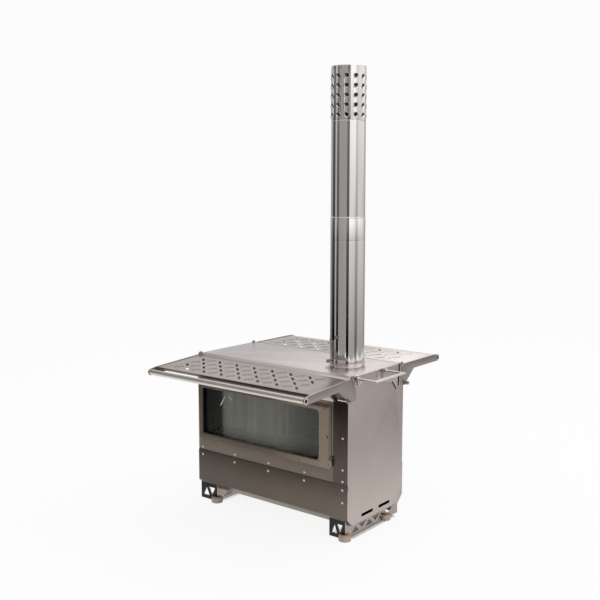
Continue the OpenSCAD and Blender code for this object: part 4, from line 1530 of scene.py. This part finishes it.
@dataclass
class AshDrawer:
    """Tray with its front and pull."""

    stove: Stove
    border: float = 9.0 * MM
    slope: float = 2.5 * MM
    press: float = 0.9 * MM
    bend: float = 8.0 * MM

    def build(self) -> None:
        """Dresses the tray, and models its pressed front and bent pull."""
        self.stove.dress(REAR, "ash_drawer")
        self.front()
        self.pull()

    def front(self) -> None:
        """The front plate, whose middle is pressed in a little."""
        box = self.stove.box("drawer_front")
        mesh = bmesh.new()
        place = Matrix.Translation(box.middle) @ Matrix.Diagonal((*box.size, 1.0))
        bmesh.ops.create_cube(mesh, size=1.0, matrix=place)
        round_off(mesh, list(mesh.edges), 0.4 * MM)
        outer = [max((f for f in mesh.faces if Facing.LEFT.holds(f.normal)), key=lambda f: f.calc_area())]
        bmesh.ops.inset_region(mesh, faces=outer, thickness=self.border)
        bmesh.ops.inset_region(mesh, faces=outer, thickness=self.slope)
        bmesh.ops.translate(mesh, verts=outer[0].verts, vec=(self.press, 0, 0))
        split(mesh)
        self.stove.add("drawer_front_pressed", mesh, REAR, "drawer_front", True)

    def pull(self) -> None:
        """A rod bent at both ends, with a washer where each end meets the front."""
        box = self.stove.box("drawer_pull")
        r = box.size.z / 2
        reach, half = box.size.x - r, box.size.y / 2 - r
        mesh = bmesh.new()
        start = Vector((box.high.x + self.press, -half, box.middle.z))
        out, down = Facing.LEFT.way, Facing.BELOW.way
        line = Drag(mesh, start, out, r)
        line.pull(reach + self.press - self.bend).turn(down, self.bend)
        line.pull(2 * (half - self.bend)).turn(down, self.bend).pull(reach + self.press - self.bend)
        line.close()
        for y in (-half, half):
            foot = Vector((box.high.x + self.press, y, box.middle.z))
            profile = [(0.0, 0.0), (1.9 * r, 0.0), (1.9 * r, 0.5 * r), (1.7 * r, 0.6 * r), (0.0, 0.6 * r)]
            lathe(mesh, profile, foot, out, 24)
        self.stove.add("drawer_bail", mesh, RAIL, "drawer_pull", True)


# ---------------------------------------------------------------- studio


@dataclass(frozen=True)
class Card:
    """A grey card, seen from the flue. Its azimuth is 0 in front and grows towards the flue end."""

    azimuth: float
    span: float
    low: float
    high: float


CARDS = (
    Card(-95.0, 30.0, 0.15, 0.5),
    Card(-67.0, 26.0, 0.0, 0.12),
    Card(-47.0, 14.0, 0.32, 0.6),
    Card(-32.0, 16.0, 0.0, 0.2),
    Card(2.5, 53.0, 0.33, 0.42),
    Card(37.0, 16.0, 0.0, 0.22),
    Card(65.0, 40.0, 0.4, 1.15),
    Card(94.0, 18.0, 0.15, 0.8),
    Card(131.0, 56.0, 0.38, 1.05),
    Card(180.0, 42.0, 0.32, 0.6),
)


@dataclass
class Studio:
    """Floor, lamps, grey cards, world and camera."""

    eye: tuple[float, float, float] = (1.2985, -1.6298, 0.7770)
    pitch: float = math.radians(82.625)
    yaw: float = math.radians(38.42)
    focal_px: float = 883.0
    frame_px: int = 600
    sensor_mm: float = 36.0
    floor_half: float = 120.0
    ambient: float = 0.75
    backdrop: float = 0.973
    lamps_at: tuple[float, float, float] = (0.0, 0.0, 0.3)
    card_distance: float = 2.0
    card_height: float = 3.0
    flue_x: float = 0.143

    def build(self) -> None:
        """Sets the stage."""
        bpy.context.scene.view_settings.view_transform = "Standard"
        self.camera()
        self.world()
        self.floor()
        self.lamps()
        self.cards()

    def camera(self) -> None:
        """Puts the camera where the photograph was taken from."""
        data = bpy.data.cameras.new("camera")
        data.sensor_width = self.sensor_mm
        data.lens = self.focal_px / self.frame_px * self.sensor_mm
        data.clip_start, data.clip_end = 0.05, 200.0
        made = placed("camera", data)
        made.location = self.eye
        made.rotation_euler = (self.pitch, 0.0, self.yaw)
        bpy.context.scene.camera = made

    def world(self) -> None:
        """White behind the object and in its mirrors, softer as a light."""
        made = bpy.data.worlds.new("studio")
        made.use_nodes = True
        graph = Graph(made.node_tree)
        level = self.ambient + (self.backdrop - self.ambient) * background_ray(graph)
        shown = graph.node(
            "ShaderNodeBackground", inputs={"Color": (1.0, 1.0, 1.0, 1.0), "Strength": level}
        )
        graph.close(shown, "ShaderNodeOutputWorld")
        bpy.context.scene.world = made

    def floor(self) -> None:
        """A wide plain floor."""
        mesh = bmesh.new()
        bmesh.ops.create_grid(mesh, x_segments=1, y_segments=1, size=self.floor_half)
        self.stage("floor", mesh, StudioFloor("pale_floor"))

    def stage(self, name: str, mesh: Mesh, finish: Finish) -> bpy.types.Object:
        """Turns a bmesh, which is used up, into a thing that isn't part of the object.

        Args:
            name: Its name.
            mesh: Its shape.
            finish: Its finish.

        Returns:
            The thing.
        """
        made = solid(name, mesh, finish)
        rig.stage(made)
        return made

    def lamps(self) -> None:
        """Large soft boxes: one overhead, and one behind to the right."""
        self.lamp("overhead", (0.2, 0.6, 2.6), 1.8, 14.0)
        self.lamp("back_right", (2.4, 1.4, 1.6), 1.5, 10.0)

    def lamp(self, name: str, place: tuple[float, float, float], side: float, watts: float) -> None:
        """Adds a square soft box that faces the stove.

        Args:
            name: Its name.
            place: Where it hangs.
            side: Its side.
            watts: Its power.
        """
        data = bpy.data.lights.new(name, "AREA")
        data.size = side
        data.energy = watts
        made = placed(name, data)
        made.location = place
        aim = Vector(self.lamps_at) - Vector(place)
        made.rotation_euler = aim.to_track_quat("-Z", "Y").to_euler()
        made.visible_camera = False

    def cards(self) -> None:
        """Stands grey cards round the stove, which the flue mirrors as its streaks."""
        for number, card in enumerate(CARDS):
            self.card(f"card_{number}", card)

    def card(self, name: str, card: Card) -> None:
        """Stands one upright card that only shows in reflections.

        Args:
            name: Its name.
            card: Its place and its greys.
        """
        mesh = bmesh.new()
        bmesh.ops.create_grid(mesh, x_segments=1, y_segments=1, size=0.5)
        width = 2 * self.card_distance * math.tan(math.radians(card.span / 2))
        turn = Matrix.Rotation(math.radians(card.azimuth), 4, "Z")
        place = Matrix.Translation((0.0, -self.card_distance, self.card_height / 2))
        stand = Matrix.Rotation(math.radians(90), 4, "X")
        shape = Matrix.Diagonal((width, 1.0, self.card_height, 1.0)) @ stand
        flue = Matrix.Translation((self.flue_x, 0.0, 0.0))
        bmesh.ops.transform(mesh, matrix=flue @ turn @ place @ shape, verts=mesh.verts)
        made = self.stage(name, mesh, CardPaper(name, card.low, card.high))
        for ray in ("camera", "diffuse", "transmission", "shadow", "volume_scatter"):
            setattr(made, f"visible_{ray}", False)


def corners(box: tuple[Vector, Vector]) -> list[list[float]]:
    """A box's two corners as plain lists."""
    return [list(corner) for corner in box]


def main() -> None:
    """Builds every sub-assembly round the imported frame, then the studio."""
    logging.basicConfig(level=logging.INFO, format="%(message)s")
    stove = Stove()
    cad_box = corners(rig.bounds())
    for assembly in (
        BodyShell, SideWindow, Firebox, Shelves, Flue, Legs, CarryHandle, LoadingDoor, AshDrawer
    ):
        assembly(stove).build()
        LOG.info("finished %s", assembly.__name__)
    Studio().build()
    with open(SIZE_FILE, "w") as file:
        json.dump({"cad": cad_box, "visual": corners(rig.bounds())}, file)


if __name__ == "__main__":
    main()
